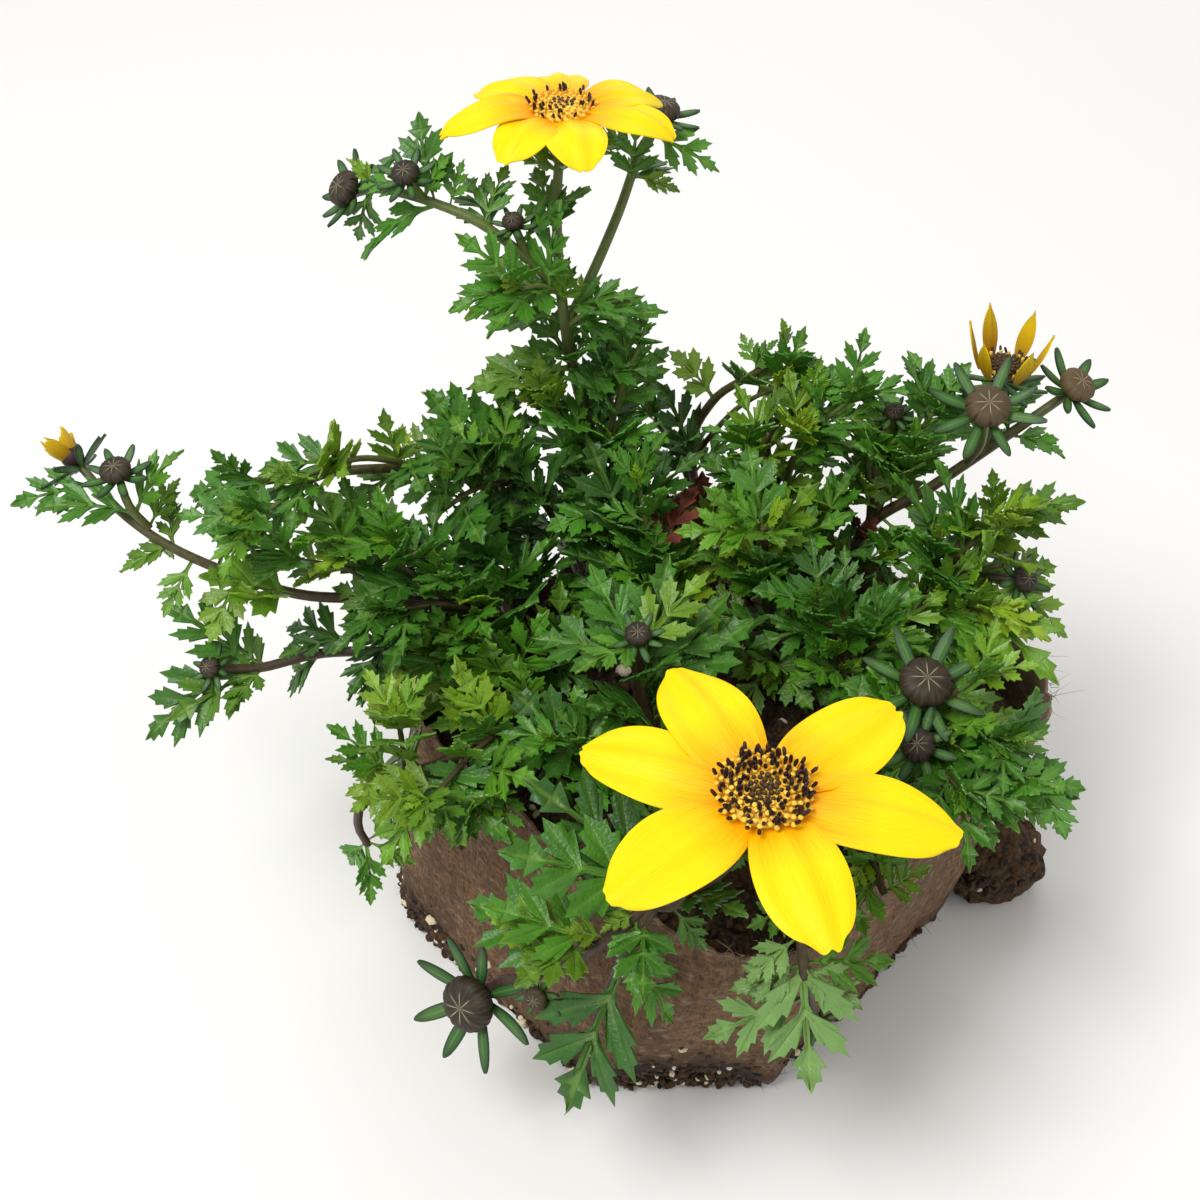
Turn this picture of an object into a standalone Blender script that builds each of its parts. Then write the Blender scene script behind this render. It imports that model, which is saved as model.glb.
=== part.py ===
"""A potted bidens in flower, at its real size.

A soft fibre sleeve holds a block of growing medium. Twenty leafy stems stand in holes in the medium.
They carry pinnately cut leaves, round dark buds on stars of narrow green bracts, two open flowers, a
half-open one and a bud whose first petals show.

The plant is laid out in millimetres, in the lists and functions of the first half. The second half
makes the meshes, in metres. +Z is up, the origin is on the flat underside of the medium, below the
middle of the sleeve's rim, and -Y is the side of the big front flower.
"""

import math
import random
from dataclasses import dataclass

import bpy
import bmesh
import numpy as np
from mathutils import Vector
from mathutils.bvhtree import BVHTree

MM = 0.001
GAP = 0.3  # clearance between pieces that touch

# The sleeve: a rounded square standing on one corner of its plan, wider at the rim
SLEEVE_HEIGHT = 50.0
SLEEVE_WALL = 1.2
RIM_HALF, RIM_CORNER = 38.0, 14.0
FOOT_HALF, FOOT_CORNER = 36.0, 12.0
FOOT_SHIFT = -8.0  # the soft sleeve leans: its foot lies this far along X from its rim
FRONT_AT_FOOT, FRONT_AT_RIM = -37.0, -49.0  # the squashed front corner reaches no further than this along Y
MEDIUM_TOP = 43.0
HOLE_FLOOR = 27.0

BLADE = 0.7  # thickness of a leaf, bract or petal
STEM_SIDES = 6
STEP_ALONG_STEM = 7.5
LEAF_SPACING = 2.2  # between leaves along a stem, least
SUNK = 0.5  # how far a leaf's base reaches into its stem
BRACTS = 8  # in the star under each bud and bloom
RAY_HEIGHT = 1.9  # from the middle of a bloom's star of bracts to the sheet of its petals
AROUND = 44  # points round the sleeve
# Shares of a union's triangles to keep, tried in turn
THINNING = (0.6, 0.63, 0.66, 0.69, 0.72, 0.75, 0.78, 0.82, 0.86, 0.9, 0.95)


# Plan of the sleeve


def taper(z):
    return min(max(z / SLEEVE_HEIGHT, 0.0), 1.0)


def sleeve_section(z):
    """Half side, corner radius, X of the middle and front limit of the sleeve's outside at height z."""
    share = taper(z)
    half = FOOT_HALF + (RIM_HALF - FOOT_HALF) * share
    corner = FOOT_CORNER + (RIM_CORNER - FOOT_CORNER) * share
    front = FRONT_AT_FOOT + (FRONT_AT_RIM - FRONT_AT_FOOT) * share
    return half, corner, FOOT_SHIFT * (1.0 - share), front


def wall_distance(point):
    """How far a point lies outside the sleeve's outer face, negative inside it."""
    half, corner, middle, front = sleeve_section(point[2])
    along = (point[0] - middle + point[1]) / math.sqrt(2.0)
    across = (point[1] - point[0] + middle) / math.sqrt(2.0)
    a, b = abs(along) - (half - corner), abs(across) - (half - corner)
    square = math.hypot(max(a, 0.0), max(b, 0.0)) + min(max(a, b), 0.0) - corner
    return max(square, front - point[1])


def clear_of_pot(point):
    if point[2] < 1.0:
        return False
    outside = wall_distance(point)
    if point[2] < SLEEVE_HEIGHT + 3.0 and -SLEEVE_WALL - 1.0 < outside < 1.0:
        return False
    return outside > 0.0 or point[2] > MEDIUM_TOP + 2.6


# The plant's layout


@dataclass
class Shoot:
    """A stem or side shoot: the points it passes through, its radius at both ends and what grows on it.

    pairs holds (share of its length, leaf length) of each opposite pair. tips holds the points that
    single leaves reach. tuft is (count, length) of the young leaves around its end. head is what it
    ends in.
    """

    path: tuple
    radii: tuple
    pairs: tuple = ()
    tips: tuple = ()
    tuft: tuple = ()
    head: str = ""
    head_radius: float = 0.0
    side: tuple = ()


def root(x, y):
    """The straight start of a stem, down in its hole in the medium."""
    return (x, y, HOLE_FLOOR + 1), (x, y, MEDIUM_TOP - 1), (x, y, MEDIUM_TOP + 4)


def bud(path, radius, width=0.65, tuft=()):
    return Shoot(path, (width, 0.6), head="bud", head_radius=radius, tuft=tuft)


STEMS = {
    "stem_top_flower": Shoot(
        (*root(-12, 17), (-17, 28, 60), (-22, 33, 76), (-25, 35, 92), (-26, 39, 108), (-25, 43, 120)),
        (1.1, 0.62),
        pairs=((0.50, 17),),
        tips=((-41, 38, 95), (-40, 32, 82), (-14, 33, 98), (-10, 31, 86), (-38, 44, 90), (-13, 42, 92)),
        head="top_flower",
        side=(
            Shoot(
                (
                    (-25, 36, 96),
                    (-30, 36, 102),
                    (-37, 38, 107),
                    (-45, 41, 109),
                    (-52, 44, 109),
                    (-56, 46, 107),
                ),
                (0.8, 0.65),
                tips=((-56, 46, 99), (-39, 42, 115), (-31, 44, 112), (-37, 33, 99)),
                head="bud",
                head_radius=2.7,
                side=(
                    bud(((-45, 41, 109), (-47, 40, 113)), 2.0),
                    bud(((-30, 36, 102), (-32, 37, 107)), 1.6),
                ),
            ),
            Shoot(
                ((-25, 35, 91), (-21, 40, 97), (-17, 46, 104), (-14, 52, 110), (-11, 57, 113)),
                (0.75, 0.62),
                tips=((-2, 52, 107), (-21, 54, 113), (-8, 48, 106)),
                head="bud",
                head_radius=2.7,
            ),
        ),
    ),
    "stem_left_long": Shoot(
        (
            *root(-25, 6),
            (-35, 7, 58),
            (-49, 4, 65),
            (-63, 1, 69),
            (-77, 2, 75),
            (-86, 5, 80),
            (-92.5, 10, 85),
        ),
        (1.05, 0.65),
        pairs=((0.45, 16),),
        tips=((-103, 10, 84), (-79, 10, 83), (-75, -6, 66), (-83, 8, 71), (-70, 15, 78)),
        head="opening_bud",
        head_radius=2.6,
        side=(bud(((-83, 4, 79), (-85, 4, 83), (-86, 5.5, 87)), 2.2),),
    ),
    "stem_left_low": Shoot(
        (*root(-26, -3), (-36, 1, 55), (-48, 0, 58), (-60, -1, 59), (-69, -4, 59), (-75, -6, 61)),
        (1.0, 0.7),
        pairs=((0.5, 16),),
        tips=((-86, -10, 50), (-83, 2, 66), (-75, 4, 54), (-53, -6, 49)),
        head="bud",
        head_radius=1.6,
    ),
    "stem_left_high": Shoot(
        (*root(-20, 16), (-27, 29, 60), (-36, 28, 70), (-46, 22, 75), (-59, 15, 80), (-69, 9, 83)),
        (1.1, 0.7),
        pairs=((0.58, 16),),
        tips=((-49, 25, 81), (-62, 20, 82), (-79, 13, 77), (-57, 4, 72), (-75, 3, 83)),
        tuft=(2, 9),
    ),
    "stem_left_rim": Shoot(
        (*root(-19, -8), (-28, -7, 53), (-36, -15, 56), (-43, -20, 56), (-50, -19, 53)),
        (0.95, 0.7),
        tips=((-58, -16, 60), (-56, -20, 49), (-40, -10, 68), (-37, -26, 47), (-51, -27, 50)),
        tuft=(2, 9),
        side=(
            Shoot(
                ((-47, -19, 54), (-53, -19, 49), (-55, -19, 42), (-54, -19, 37)),
                (0.7, 0.6),
                tuft=(4, 9),
            ),
        ),
    ),
    "stem_front": Shoot(
        (*root(-9, -20), (-9, -31, 54), (-13, -41, 56), (-11, -45, 58), (-4, -44, 65), (0.5, -40, 72)),
        (1.2, 0.9),
        tips=((-33, -39, 61), (-6, -48, 52), (-30, -30, 65)),
        head="front_flower",
        side=(
            Shoot(
                ((-12, -43, 57), (-16, -46, 50), (-20, -48, 36)),
                (0.85, 0.7),
                tips=((-21, -50, 22), (-10, -50, 38)),
            ),
            Shoot(
                ((-12, -43, 57), (-20, -45, 49), (-28, -43, 39), (-34, -40, 33), (-37, -40, 29)),
                (0.85, 0.75),
                tips=((-35, -41, 51), (-38, -34, 43), (-25, -46, 54)),
                head="bud",
                head_radius=4.1,
                side=(bud(((-25, -44, 43), (-28, -46, 39)), 1.7, tuft=(2, 8)),),
            ),
        ),
    ),
    "stem_front_right": Shoot(
        (*root(2, -24), (4, -36, 54), (6, -47, 54), (7, -51, 47), (9, -51, 40)),
        (0.95, 0.65),
        tips=((-6, -53, 39), (-1, -52, 48), (19, -47, 48), (4, -52, 31)),
        head="bud",
        head_radius=1.5,
    ),
    "stem_right_front": Shoot(
        (*root(12, -17), (15, -30, 54), (18, -40, 53)),
        (0.9, 0.6),
        tips=((23, -41, 61), (10, -48, 49)),
    ),
    "stem_right": Shoot(
        (*root(20, -7), (25, -15, 55), (31, -21, 57), (36, -24, 57)),
        (1.0, 0.7),
        tips=((48, -22, 53), (43, -16, 60), (46, -26, 50), (37, -31, 52), (40, -12, 58), (27, -30, 51)),
        tuft=(2, 10),
        side=(
            bud(((24, -14, 54), (25, -13, 64)), 3.7),
            bud(((28, -18, 56), (24, -20.5, 60.5)), 2.4),
        ),
    ),
    "stem_right_middle": Shoot(
        (*root(25, 6), (27, 10, 57), (34, 11, 63), (42, 8, 65)),
        (1.05, 0.7),
        tips=((50, 5, 56), (49, 12, 66), (40, 0, 55), (28, 1, 58), (47, -3, 52)),
        head="bud",
        head_radius=2.0,
        side=(
            Shoot(
                ((29, 11, 59), (34, 14, 67), (38, 14, 72)),
                (0.8, 0.6),
                tips=((51, 14, 75), (44, 10, 79), (23, 13, 68), (33, 5, 76)),
                tuft=(2, 9),
            ),
        ),
    ),
    "stem_right_long": Shoot(
        (*root(16, 15), (21, 24, 60), (30, 23, 70), (39, 23, 79), (46, 25, 84), (49, 26, 86)),
        (1.15, 0.7),
        tips=((29, 28, 87), (40, 30, 76), (17, 30, 74), (28, 17, 62)),
        head="bud",
        head_radius=2.8,
        side=(
            bud(((35, 23, 75), (35.5, 19, 82), (34.7, 16.8, 89.3)), 3.2),
            Shoot(
                ((37, 23, 77), (39, 26, 84), (39, 27, 87)),
                (0.9, 0.8),
                head="half_open",
                head_radius=2.6,
            ),
            Shoot(
                ((22, 24, 61), (23, 26, 70), (24, 28, 80)),
                (0.8, 0.7),
                pairs=((0.62, 9),),
                head="bud",
                head_radius=1.5,
            ),
        ),
    ),
    "stem_back_right": Shoot(
        (*root(-1, 22), (-5, 40, 62), (-2, 43, 71), (4, 41, 78), (8, 40, 82)),
        (1.0, 0.6),
        tips=((-9, 46, 79), (2, 45, 83), (14, 41, 80), (12, 38, 76)),
        tuft=(2, 7),
    ),
    "stem_back_middle": Shoot(
        (*root(7, 22), (7, 31, 62), (6, 31, 74), (12, 32, 80)),
        (1.0, 0.65),
        pairs=((0.74, 15),),
        tips=((19, 34, 84), (20, 32, 77), (-4, 35, 72)),
        tuft=(2, 9),
    ),
    "stem_centre": Shoot(
        (*root(-11, -9), (-14, -8, 59), (-14.5, -7, 68)),
        (1.0, 0.7),
        tips=(
            (-30, -3, 64),
            (-20, 0, 76),
            (-14, -2, 80),
            (-7, -4, 78),
            (-1, -5, 71),
            (-3, -12, 62),
            (-24, -13, 61),
        ),
        head="bud",
        head_radius=1.9,
    ),
    "stem_centre_right": Shoot(
        (*root(8, 6), (5, 14, 60), (4, 12, 72)),
        (1.0, 0.6),
        pairs=((0.68, 16),),
        tips=((-9, 12, 71), (-5, 13, 79), (12, 14, 79), (17, 14, 73)),
        tuft=(2, 9),
    ),
    "stem_inner_right": Shoot(
        (*root(16, -1), (17, 3, 58), (16, 5, 62)),
        (0.95, 0.6),
        pairs=((0.86, 15),),
        tips=((2, 1, 58), (20, -12, 57), (28, 1, 57)),
        tuft=(2, 10),
    ),
    "stem_inner_left": Shoot(
        (*root(-30, 4), (-35, 15, 56), (-38, 17, 63)),
        (0.95, 0.6),
        pairs=((0.75, 15),),
        tips=((-50, 17, 66), (-46, 8, 57), (-36, 4, 66), (-52, 10, 62)),
        tuft=(2, 10),
    ),
    "stem_back_left": Shoot(
        (*root(-27, 13), (-35, 27, 58), (-37, 35, 70)),
        (0.95, 0.6),
        pairs=((0.7, 14),),
        tips=((-47, 34, 80), (-47, 32, 72), (-33, 36, 80)),
    ),
    "stem_centre_back": Shoot(
        (*root(-8, 8), (-14, 18, 58), (-17, 23, 68)),
        (1.05, 0.6),
        pairs=((0.6, 17), (0.82, 16)),
        tips=((-28, 18, 66), (-4, 27, 74), (-22, 25, 79)),
        tuft=(2, 9),
    ),
    "stem_front_left": Shoot(
        (*root(-20, -16), (-21, -16, 55)),
        (0.9, 0.6),
        tips=((-35, -18, 56), (-30, -8, 62), (-23, -28, 54), (-12, -21, 59)),
        tuft=(3, 9),
    ),
}

# Each bloom's rays as (angle round it in degrees, length), 0 lying towards +X
FRONT_RAYS = ((-12, 24.8), (39, 24.0), (117, 24.0), (162, 24.2), (218, 24.8), (287, 23.0))
TOP_RAYS = ((-17, 16.5), (24, 15.5), (94, 14.0), (140, 16.5), (187, 17.5), (234, 14.0), (283, 14.5))
HALF_OPEN_RAYS = ((-12, 11.0), (48, 11.5), (112, 12.0), (165, 11.5), (218, 11.0), (290, 10.5))
# disc, foot and bract are how far the disc, the rays' feet and the bracts lie or reach from its axis,
# rise is the slope of a ray at its foot and bend how far it then curves down, in degrees
BLOOMS = {
    "front_flower": dict(
        rays=FRONT_RAYS, disc=5.9, foot=3.7, width=11.8, rise=8.0, bend=22.0, bract=7.5
    ),
    "top_flower": dict(
        rays=TOP_RAYS, disc=4.6, foot=2.9, width=8.6, rise=26.0, bend=74.0, bract=5.5
    ),
    "half_open": dict(
        rays=HALF_OPEN_RAYS, disc=3.0, foot=3.5, width=2.5, rise=66.0, bend=-10.0, bract=6.5
    ),
}
FACING = {
    "front_flower": (0.02, -0.05, 1.0),
    "top_flower": (-0.02, 0.03, 1.0),
    "half_open": (0.02, 0.05, 1.0),
}

# A leaf's right half in shares of its length: petiole, first lobe, notch, second lobe, notch, shoulder
LEAF_EDGE = ((0.0, 0.035), (0.20, 0.04), (0.48, 0.28), (0.43, 0.09), (0.77, 0.26), (0.70, 0.11))
LEAF_RIB = (0.20, 0.43, 0.70)
YOUNG_EDGE = ((0.0, 0.055), (0.26, 0.06), (0.64, 0.25), (0.60, 0.12))
YOUNG_RIB = (0.26, 0.60)
# What to try, in turn, where a leaf would cross something: turn and tilt in degrees, share of its length
TRIES = ((0, 0, 1.0), (14, 0, 1.0), (-14, 0, 1.0), (0, 16, 1.0), (0, -16, 1.0))
TRIES += ((28, 8, 0.94), (-28, 8, 0.94), (16, 24, 0.9), (-16, 24, 0.9), (16, -24, 0.9), (-16, -24, 0.9))
TRIES += ((0, 34, 0.85), (0, -34, 0.8), (44, 0, 0.8), (-44, 0, 0.8))
TRIES += ((24, 12, 0.68), (-24, 12, 0.68), (0, 20, 0.6), (0, -20, 0.6))


def unit(vector):
    vector = np.asarray(vector, float)
    return vector / np.linalg.norm(vector)


def turned(vector, axis, degrees):
    """The vector turned about the unit axis."""
    angle = math.radians(degrees)
    kept = axis * np.dot(axis, vector) * (1 - math.cos(angle))
    return vector * math.cos(angle) + np.cross(axis, vector) * math.sin(angle) + kept


def sunk_base(point, along, width, way):
    """Where a leaf starts: on the side of the stem that it grows to, sunk in."""
    out = way - np.dot(way, along) * along
    return point + out / max(np.linalg.norm(out), 0.3) * (width - SUNK)


def smooth_path(points, step=STEP_ALONG_STEM):
    """Points about one step apart on the Catmull-Rom curve through the given ones."""
    knots = np.array(points, float)
    knots = np.vstack([2 * knots[0] - knots[1], knots, 2 * knots[-1] - knots[-2]])
    found = []
    for before, start, end, after in zip(knots, knots[1:], knots[2:], knots[3:]):
        count = max(1, round(np.linalg.norm(end - start) / step))
        for t in np.arange(count) / count:
            square = (2 * before - 5 * start + 4 * end - after) * t**2
            cube = (3 * (start - end) + after - before) * t**3
            found.append(start + 0.5 * ((end - before) * t + square + cube))
    return np.array(found + [knots[-2]])


class Blade:
    """A leaf, petal or bract: a sheet that bends along its length and folds along its rib."""

    def __init__(self, base, chord, up, length, bend, fold=0.0, curl=0.0):
        self.base, self.length = np.asarray(base, float), length
        self.bend = math.radians(bend) or 1e-6
        self.fold, self.curl = fold, curl
        chord = unit(chord)
        normal = unit(up - np.dot(up, chord) * chord)
        self.side = np.cross(chord, normal)
        half = self.bend / 2
        self.start = chord * math.cos(half) + normal * math.sin(half)
        self.normal = normal * math.cos(half) - chord * math.sin(half)
        self.arc = length * half / math.sin(half)

    def at(self, s, t, height=0.0):
        """Points at the shares s along and t across, raised by the height from the sheet."""
        s, t = np.asarray(s, float)[..., None], np.asarray(t, float)[..., None]
        angle = self.bend * s
        rib = (self.start * np.sin(angle) - self.normal * (1 - np.cos(angle))) * (self.arc / self.bend)
        out = self.normal * np.cos(angle) + self.start * np.sin(angle)
        lift = self.length * (self.fold * np.abs(t) - self.curl * t * t)
        lift = lift + np.asarray(height, float)[..., None]
        return self.base + rib + self.side * (t * self.length) + out * lift


def leaf_plan(edge, rib):
    """(s, t) of a leaf's points, its triangles and its outline, as indices."""
    right = [(s, t) for s, t in edge]
    points = right + [(1.0, 0.0)] + [(s, -t) for s, t in reversed(right)] + [(s, 0.0) for s in rib]
    count, tip = len(edge), len(edge)
    outline = list(range(2 * count + 1))
    ribs = [2 * count + 1 + i for i in range(len(rib))]
    triangles = [(0, ribs[0], 2 * count)]
    for mirror in (False, True):
        def at(i):
            return 2 * count - i if mirror else i
        fan = [(ribs[0], at(0), at(1))]
        for i, centre in enumerate(ribs):
            last = 2 * i + 3 if i + 1 < len(ribs) else tip
            fan += [(centre, at(k), at(k + 1)) for k in range(2 * i + 1, last)]
            if i + 1 < len(ribs):
                fan.append((centre, at(last), ribs[i + 1]))
        triangles += [(a, c, b) for a, b, c in fan] if mirror else fan
    return np.array(points), np.array(triangles), outline


PLANS = {"leaf": leaf_plan(LEAF_EDGE, LEAF_RIB), "young": leaf_plan(YOUNG_EDGE, YOUNG_RIB)}


def sheet_tree(blade, plan, grow, height):
    """Search trees of the blade and of what lies beyond its stalk, thickened by the height."""
    points, triangles, _ = PLANS[plan]
    s, t = points[:, 0], points[:, 1] * grow
    trees = []
    for beyond in (0.0, 0.25):
        faces = triangles[(s[triangles] >= beyond).all(axis=1)]
        levels = (height, 0.0, -height) if height else (0.0,)
        corners = [Vector(p) for h in levels for p in blade.at(s, t, np.full(len(s), h))]
        layers = [tuple(int(v) + i * len(s) for v in face) for i in range(len(levels)) for face in faces]
        trees.append(BVHTree.FromPolygons(corners, layers, all_triangles=True))
    return trees


class Layout:
    """Where every leaf, bud and bloom of the plant goes, so that no two pieces cross."""

    def __init__(self):
        self.tubes, self.balls, self.sheets = [], [], []
        self.shoots, self.leaves, self.heads, self.wanted = [], [], [], []
        for owner, shoot in STEMS.items():
            self.add_shoot(owner, shoot)
        for owner, shoot, path in self.shoots:
            self.want_leaves(owner, shoot, path)
        for want in sorted(self.wanted, key=lambda one: one[0]):
            self.place(*want[1:])

    def add_shoot(self, owner, shoot):
        path = smooth_path(shoot.path)
        widths = np.linspace(shoot.radii[0], shoot.radii[1], len(path))
        self.tubes.append((owner, path, widths))
        self.shoots.append((owner, shoot, path))
        if shoot.head:
            self.add_head(owner, shoot, path)
        for branch in shoot.side:
            self.add_shoot(owner, branch)

    def add_head(self, owner, shoot, path):
        axis = unit(path[-1] - path[-2])
        if shoot.head in FACING:
            axis = unit(FACING[shoot.head])
        elif shoot.head == "bud":
            axis = unit(0.6 * axis + (0.0, -0.45, 0.75))
        head = (owner, shoot.head, path[-1], axis, shoot.head_radius)
        self.heads.append(head)
        for blade, plan in head_blades(head):
            self.sheets.append((owner, blade, sheet_tree(blade, plan, 1.0, 0.0)))
        radius = BLOOMS[shoot.head]["disc"] if shoot.head in BLOOMS else shoot.head_radius
        self.balls.append((path[-1] + axis * (radius * 0.6 + 1.0), radius + 1.2))

    def want_leaves(self, owner, shoot, path):
        draw = random.Random(f"{owner} {shoot.path[-1]}")
        reach = np.concatenate([[0.0], np.cumsum(np.linalg.norm(np.diff(path, axis=0), axis=1))])

        def spot(place):
            """The point and direction of the shoot at a length along it, and its radius there."""
            point = np.array([np.interp(place, reach, path[:, axis]) for axis in range(3)])
            index = min(max(int(np.searchsorted(reach, place)), 1), len(path) - 1)
            width = np.interp(place, (0.0, reach[-1]), shoot.radii)
            return point, unit(path[index] - path[index - 1]), width

        taken = [share * reach[-1] for share, _ in shoot.pairs]
        places = np.arange(0.0, reach[-1] - (2.5 if shoot.head else 0.5), 0.5)
        points = np.array([spot(place)[0] for place in places])
        for tip in shoot.tips:
            tip = np.array(tip, float)
            cost = np.linalg.norm(points - tip, axis=1)
            cost += np.where(points[:, 2] < MEDIUM_TOP + 3, 50.0, 0.0)
            for other in taken:
                cost += np.where(np.abs(places - other) < LEAF_SPACING, 30.0, 0.0)
            place = float(places[int(np.argmin(cost))])
            taken.append(place)
            base, along, width = spot(place)
            base = sunk_base(base, along, width, tip - base)
            length = np.linalg.norm(tip - base)
            up = unit((draw.uniform(-0.2, 0.2), -0.35 + draw.uniform(-0.2, 0.2), 1.0))
            kind = "leaf" if length > 9 else "young"
            self.wanted.append((0, owner, base, unit(tip - base), up, length, draw.uniform(15, 45), kind))
        turn = draw.uniform(0, 180)
        for share, length in shoot.pairs:
            self.want_ring(1, owner, draw, spot(share * reach[-1]), turn, 2, length, 62, "leaf")
            turn += 90 + draw.uniform(-15, 15)
        if shoot.tuft:
            count, length = shoot.tuft
            self.want_ring(2, owner, draw, spot(reach[-1] - 0.8), turn, count, length, 38, "young")

    def want_ring(self, rank, owner, draw, seat, turn, count, length, spread, kind):
        """Leaves all round a stem, spread by an angle from it and lifted to the light."""
        point, along, width = seat
        side = unit(np.cross(along, (0.31, 0.95, 0.05)))
        for i in range(count):
            out = turned(side, along, turn + 360.0 * i / count + draw.uniform(-9, 9))
            lean = math.radians(spread + draw.uniform(-10, 10))
            chord = unit(out * math.sin(lean) + along * math.cos(lean) + (0.0, 0.0, 0.22))
            up = unit(along * 0.5 + (draw.uniform(-0.15, 0.15), -0.2 + draw.uniform(-0.15, 0.15), 0.9))
            size = length * draw.uniform(0.9, 1.1)
            base = sunk_base(point, along, width, out)
            self.wanted.append((rank, owner, base, chord, up, size, draw.uniform(15, 50), kind))

    def place(self, owner, base, chord, up, length, bend, kind):
        up = up if abs(np.dot(up, chord)) < 0.93 else unit(up + (0.0, -1.0, 0.0))
        side = unit(np.cross(chord, up))
        for turn, tilt, share in TRIES:
            aim = turned(turned(chord, side, tilt), up, turn)
            blade = Blade(base, aim, up, length * share, bend, fold=0.22, curl=0.25)
            if self.is_free(owner, blade, kind):
                self.leaves.append((owner, blade, kind))
                self.sheets.append((owner, blade, sheet_tree(blade, kind, 1.0, 0.0)))
                return

    def is_free(self, owner, blade, kind):
        points, _, _ = PLANS[kind]
        s, t = points[:, 0], points[:, 1]
        s = np.concatenate([s, s, [0.33, 0.6, 0.85]])
        t = np.concatenate([t, t * 0.5, [0.0, 0.0, 0.0]])
        spots = blade.at(s, t)
        if not all(clear_of_pot(spot) for spot, share in zip(spots, s) if share > 0.15):
            return False
        for centre, radius in self.balls:
            if (np.linalg.norm(spots - centre, axis=1) < radius).any():
                return False
        for other, path, widths in self.tubes:
            chosen = spots[s > 0.3] if other == owner else spots
            if np.linalg.norm(path - blade.base, axis=1).min() > 2.2 * blade.length + STEP_ALONG_STEM:
                continue
            if too_near(chosen, path, widths + BLADE / 2 + GAP + 0.2):
                return False
        whole, beyond = sheet_tree(blade, kind, 1.06, BLADE + GAP)
        for other, sheet, trees in self.sheets:
            if np.linalg.norm(sheet.base - blade.base) > sheet.length + blade.length + 2:
                continue
            if beyond.overlap(trees[1]) if other == owner else whole.overlap(trees[0]):
                return False
        return True


def too_near(spots, path, reach):
    """Whether a spot lies within reach of the path's segments."""
    starts, ends = path[:-1], path[1:]
    along = ends - starts
    relative = spots[:, None, :] - starts[None]
    share = np.clip((relative * along).sum(-1) / (along * along).sum(-1), 0.0, 1.0)
    gaps = np.linalg.norm(relative - share[..., None] * along, axis=-1)
    return bool((gaps < reach[:-1]).any())


def around(axis):
    """Two unit vectors square to the axis, the first nearest to +X."""
    across = unit(np.array((1.0, 0.0, 0.0)) - axis[0] * axis)
    return across, np.cross(axis, across)


def bract_reach(kind, radius):
    """How far a head's bracts reach from its axis: they are longest round the biggest buds."""
    return BLOOMS[kind]["bract"] if kind in BLOOMS else radius * (2.45 if radius > 3.0 else 2.2)


def head_blades(head):
    """The outer bracts and rays of a head, as blades with a leaf's plan, to keep leaves off them."""
    _, kind, centre, axis, radius = head
    across, back = around(axis)
    found = []
    bloom = BLOOMS.get(kind)
    reach = bract_reach(kind, radius)
    for i in range(BRACTS):
        angle = 2 * math.pi * (i + 0.5) / BRACTS
        out = across * math.cos(angle) + back * math.sin(angle)
        found.append((Blade(centre, unit(out + 0.25 * axis), axis, reach + 0.4, 8), "young"))
    for angle, length in bloom["rays"] if bloom else ():
        found.append((ray_blade(head, angle, length), "leaf"))
    return found


def ray_blade(head, angle, length):
    _, kind, centre, axis, _ = head
    bloom = BLOOMS[kind]
    across, back = around(axis)
    turn, rise = math.radians(angle), math.radians(bloom["rise"])
    out = across * math.cos(turn) + back * math.sin(turn)
    foot = bloom["foot"]
    slope = rise - math.radians(bloom["bend"] / 2)
    chord = out * math.cos(slope) + axis * math.sin(slope)
    up = axis * math.cos(rise) - out * math.sin(rise)
    base = centre + axis * RAY_HEIGHT + out * foot
    return Blade(base, chord, up, length - foot, bloom["bend"], curl=0.5)


# Meshes


def clear_scene():
    for obj in list(bpy.data.objects):
        bpy.data.objects.remove(obj)


def collection(name):
    made = bpy.data.collections.new(name)
    bpy.context.scene.collection.children.link(made)
    return made


def material(name, colour, roughness):
    made = bpy.data.materials.new(name)
    made.use_nodes = True
    shader = made.node_tree.nodes["Principled BSDF"]
    shader.inputs["Base Color"].default_value = (*colour, 1.0)
    shader.inputs["Roughness"].default_value = roughness
    shader.inputs["Metallic"].default_value = 0.0
    return made


def mesh_object(name, points, faces, into):
    """An object from points in millimetres."""
    mesh = bpy.data.meshes.new(name)
    corners = [tuple(p) for p in np.asarray(points, float) * MM]
    mesh.from_pydata(corners, [], [tuple(map(int, f)) for f in faces])
    mesh.validate()
    obj = bpy.data.objects.new(name, mesh)
    into.objects.link(obj)
    return obj


def finish(obj, look):
    """Gives the object its one material and smooth shading between its sharp edges."""
    obj.data.materials.clear()
    obj.data.materials.append(look)
    obj.data.shade_smooth()
    obj.data.set_sharp_from_angle(angle=math.radians(40))


def tube(name, path, radii, into):
    """A round stem: a curve with a bevel, made a mesh so that it can be joined."""
    curve = bpy.data.curves.new(name, "CURVE")
    curve.dimensions = "3D"
    curve.bevel_depth = MM
    curve.bevel_resolution = (STEM_SIDES - 4) // 2
    curve.use_fill_caps = True
    spline = curve.splines.new("POLY")
    spline.points.add(len(path) - 1)
    for point, place, radius in zip(spline.points, path, radii):
        point.co = (*(np.asarray(place) * MM), 1.0)
        point.radius = radius
    drawn = bpy.data.objects.new(name + "_curve", curve)
    into.objects.link(drawn)
    mesh = bpy.data.meshes.new_from_object(drawn.evaluated_get(bpy.context.evaluated_depsgraph_get()))
    bpy.data.objects.remove(drawn)
    shape = bmesh.new()
    shape.from_mesh(mesh)
    bmesh.ops.remove_doubles(shape, verts=shape.verts, dist=0.01 * MM)
    bmesh.ops.recalc_face_normals(shape, faces=shape.faces)
    shape.to_mesh(mesh)
    shape.free()
    obj = bpy.data.objects.new(name, mesh)
    into.objects.link(obj)
    return obj


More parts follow.
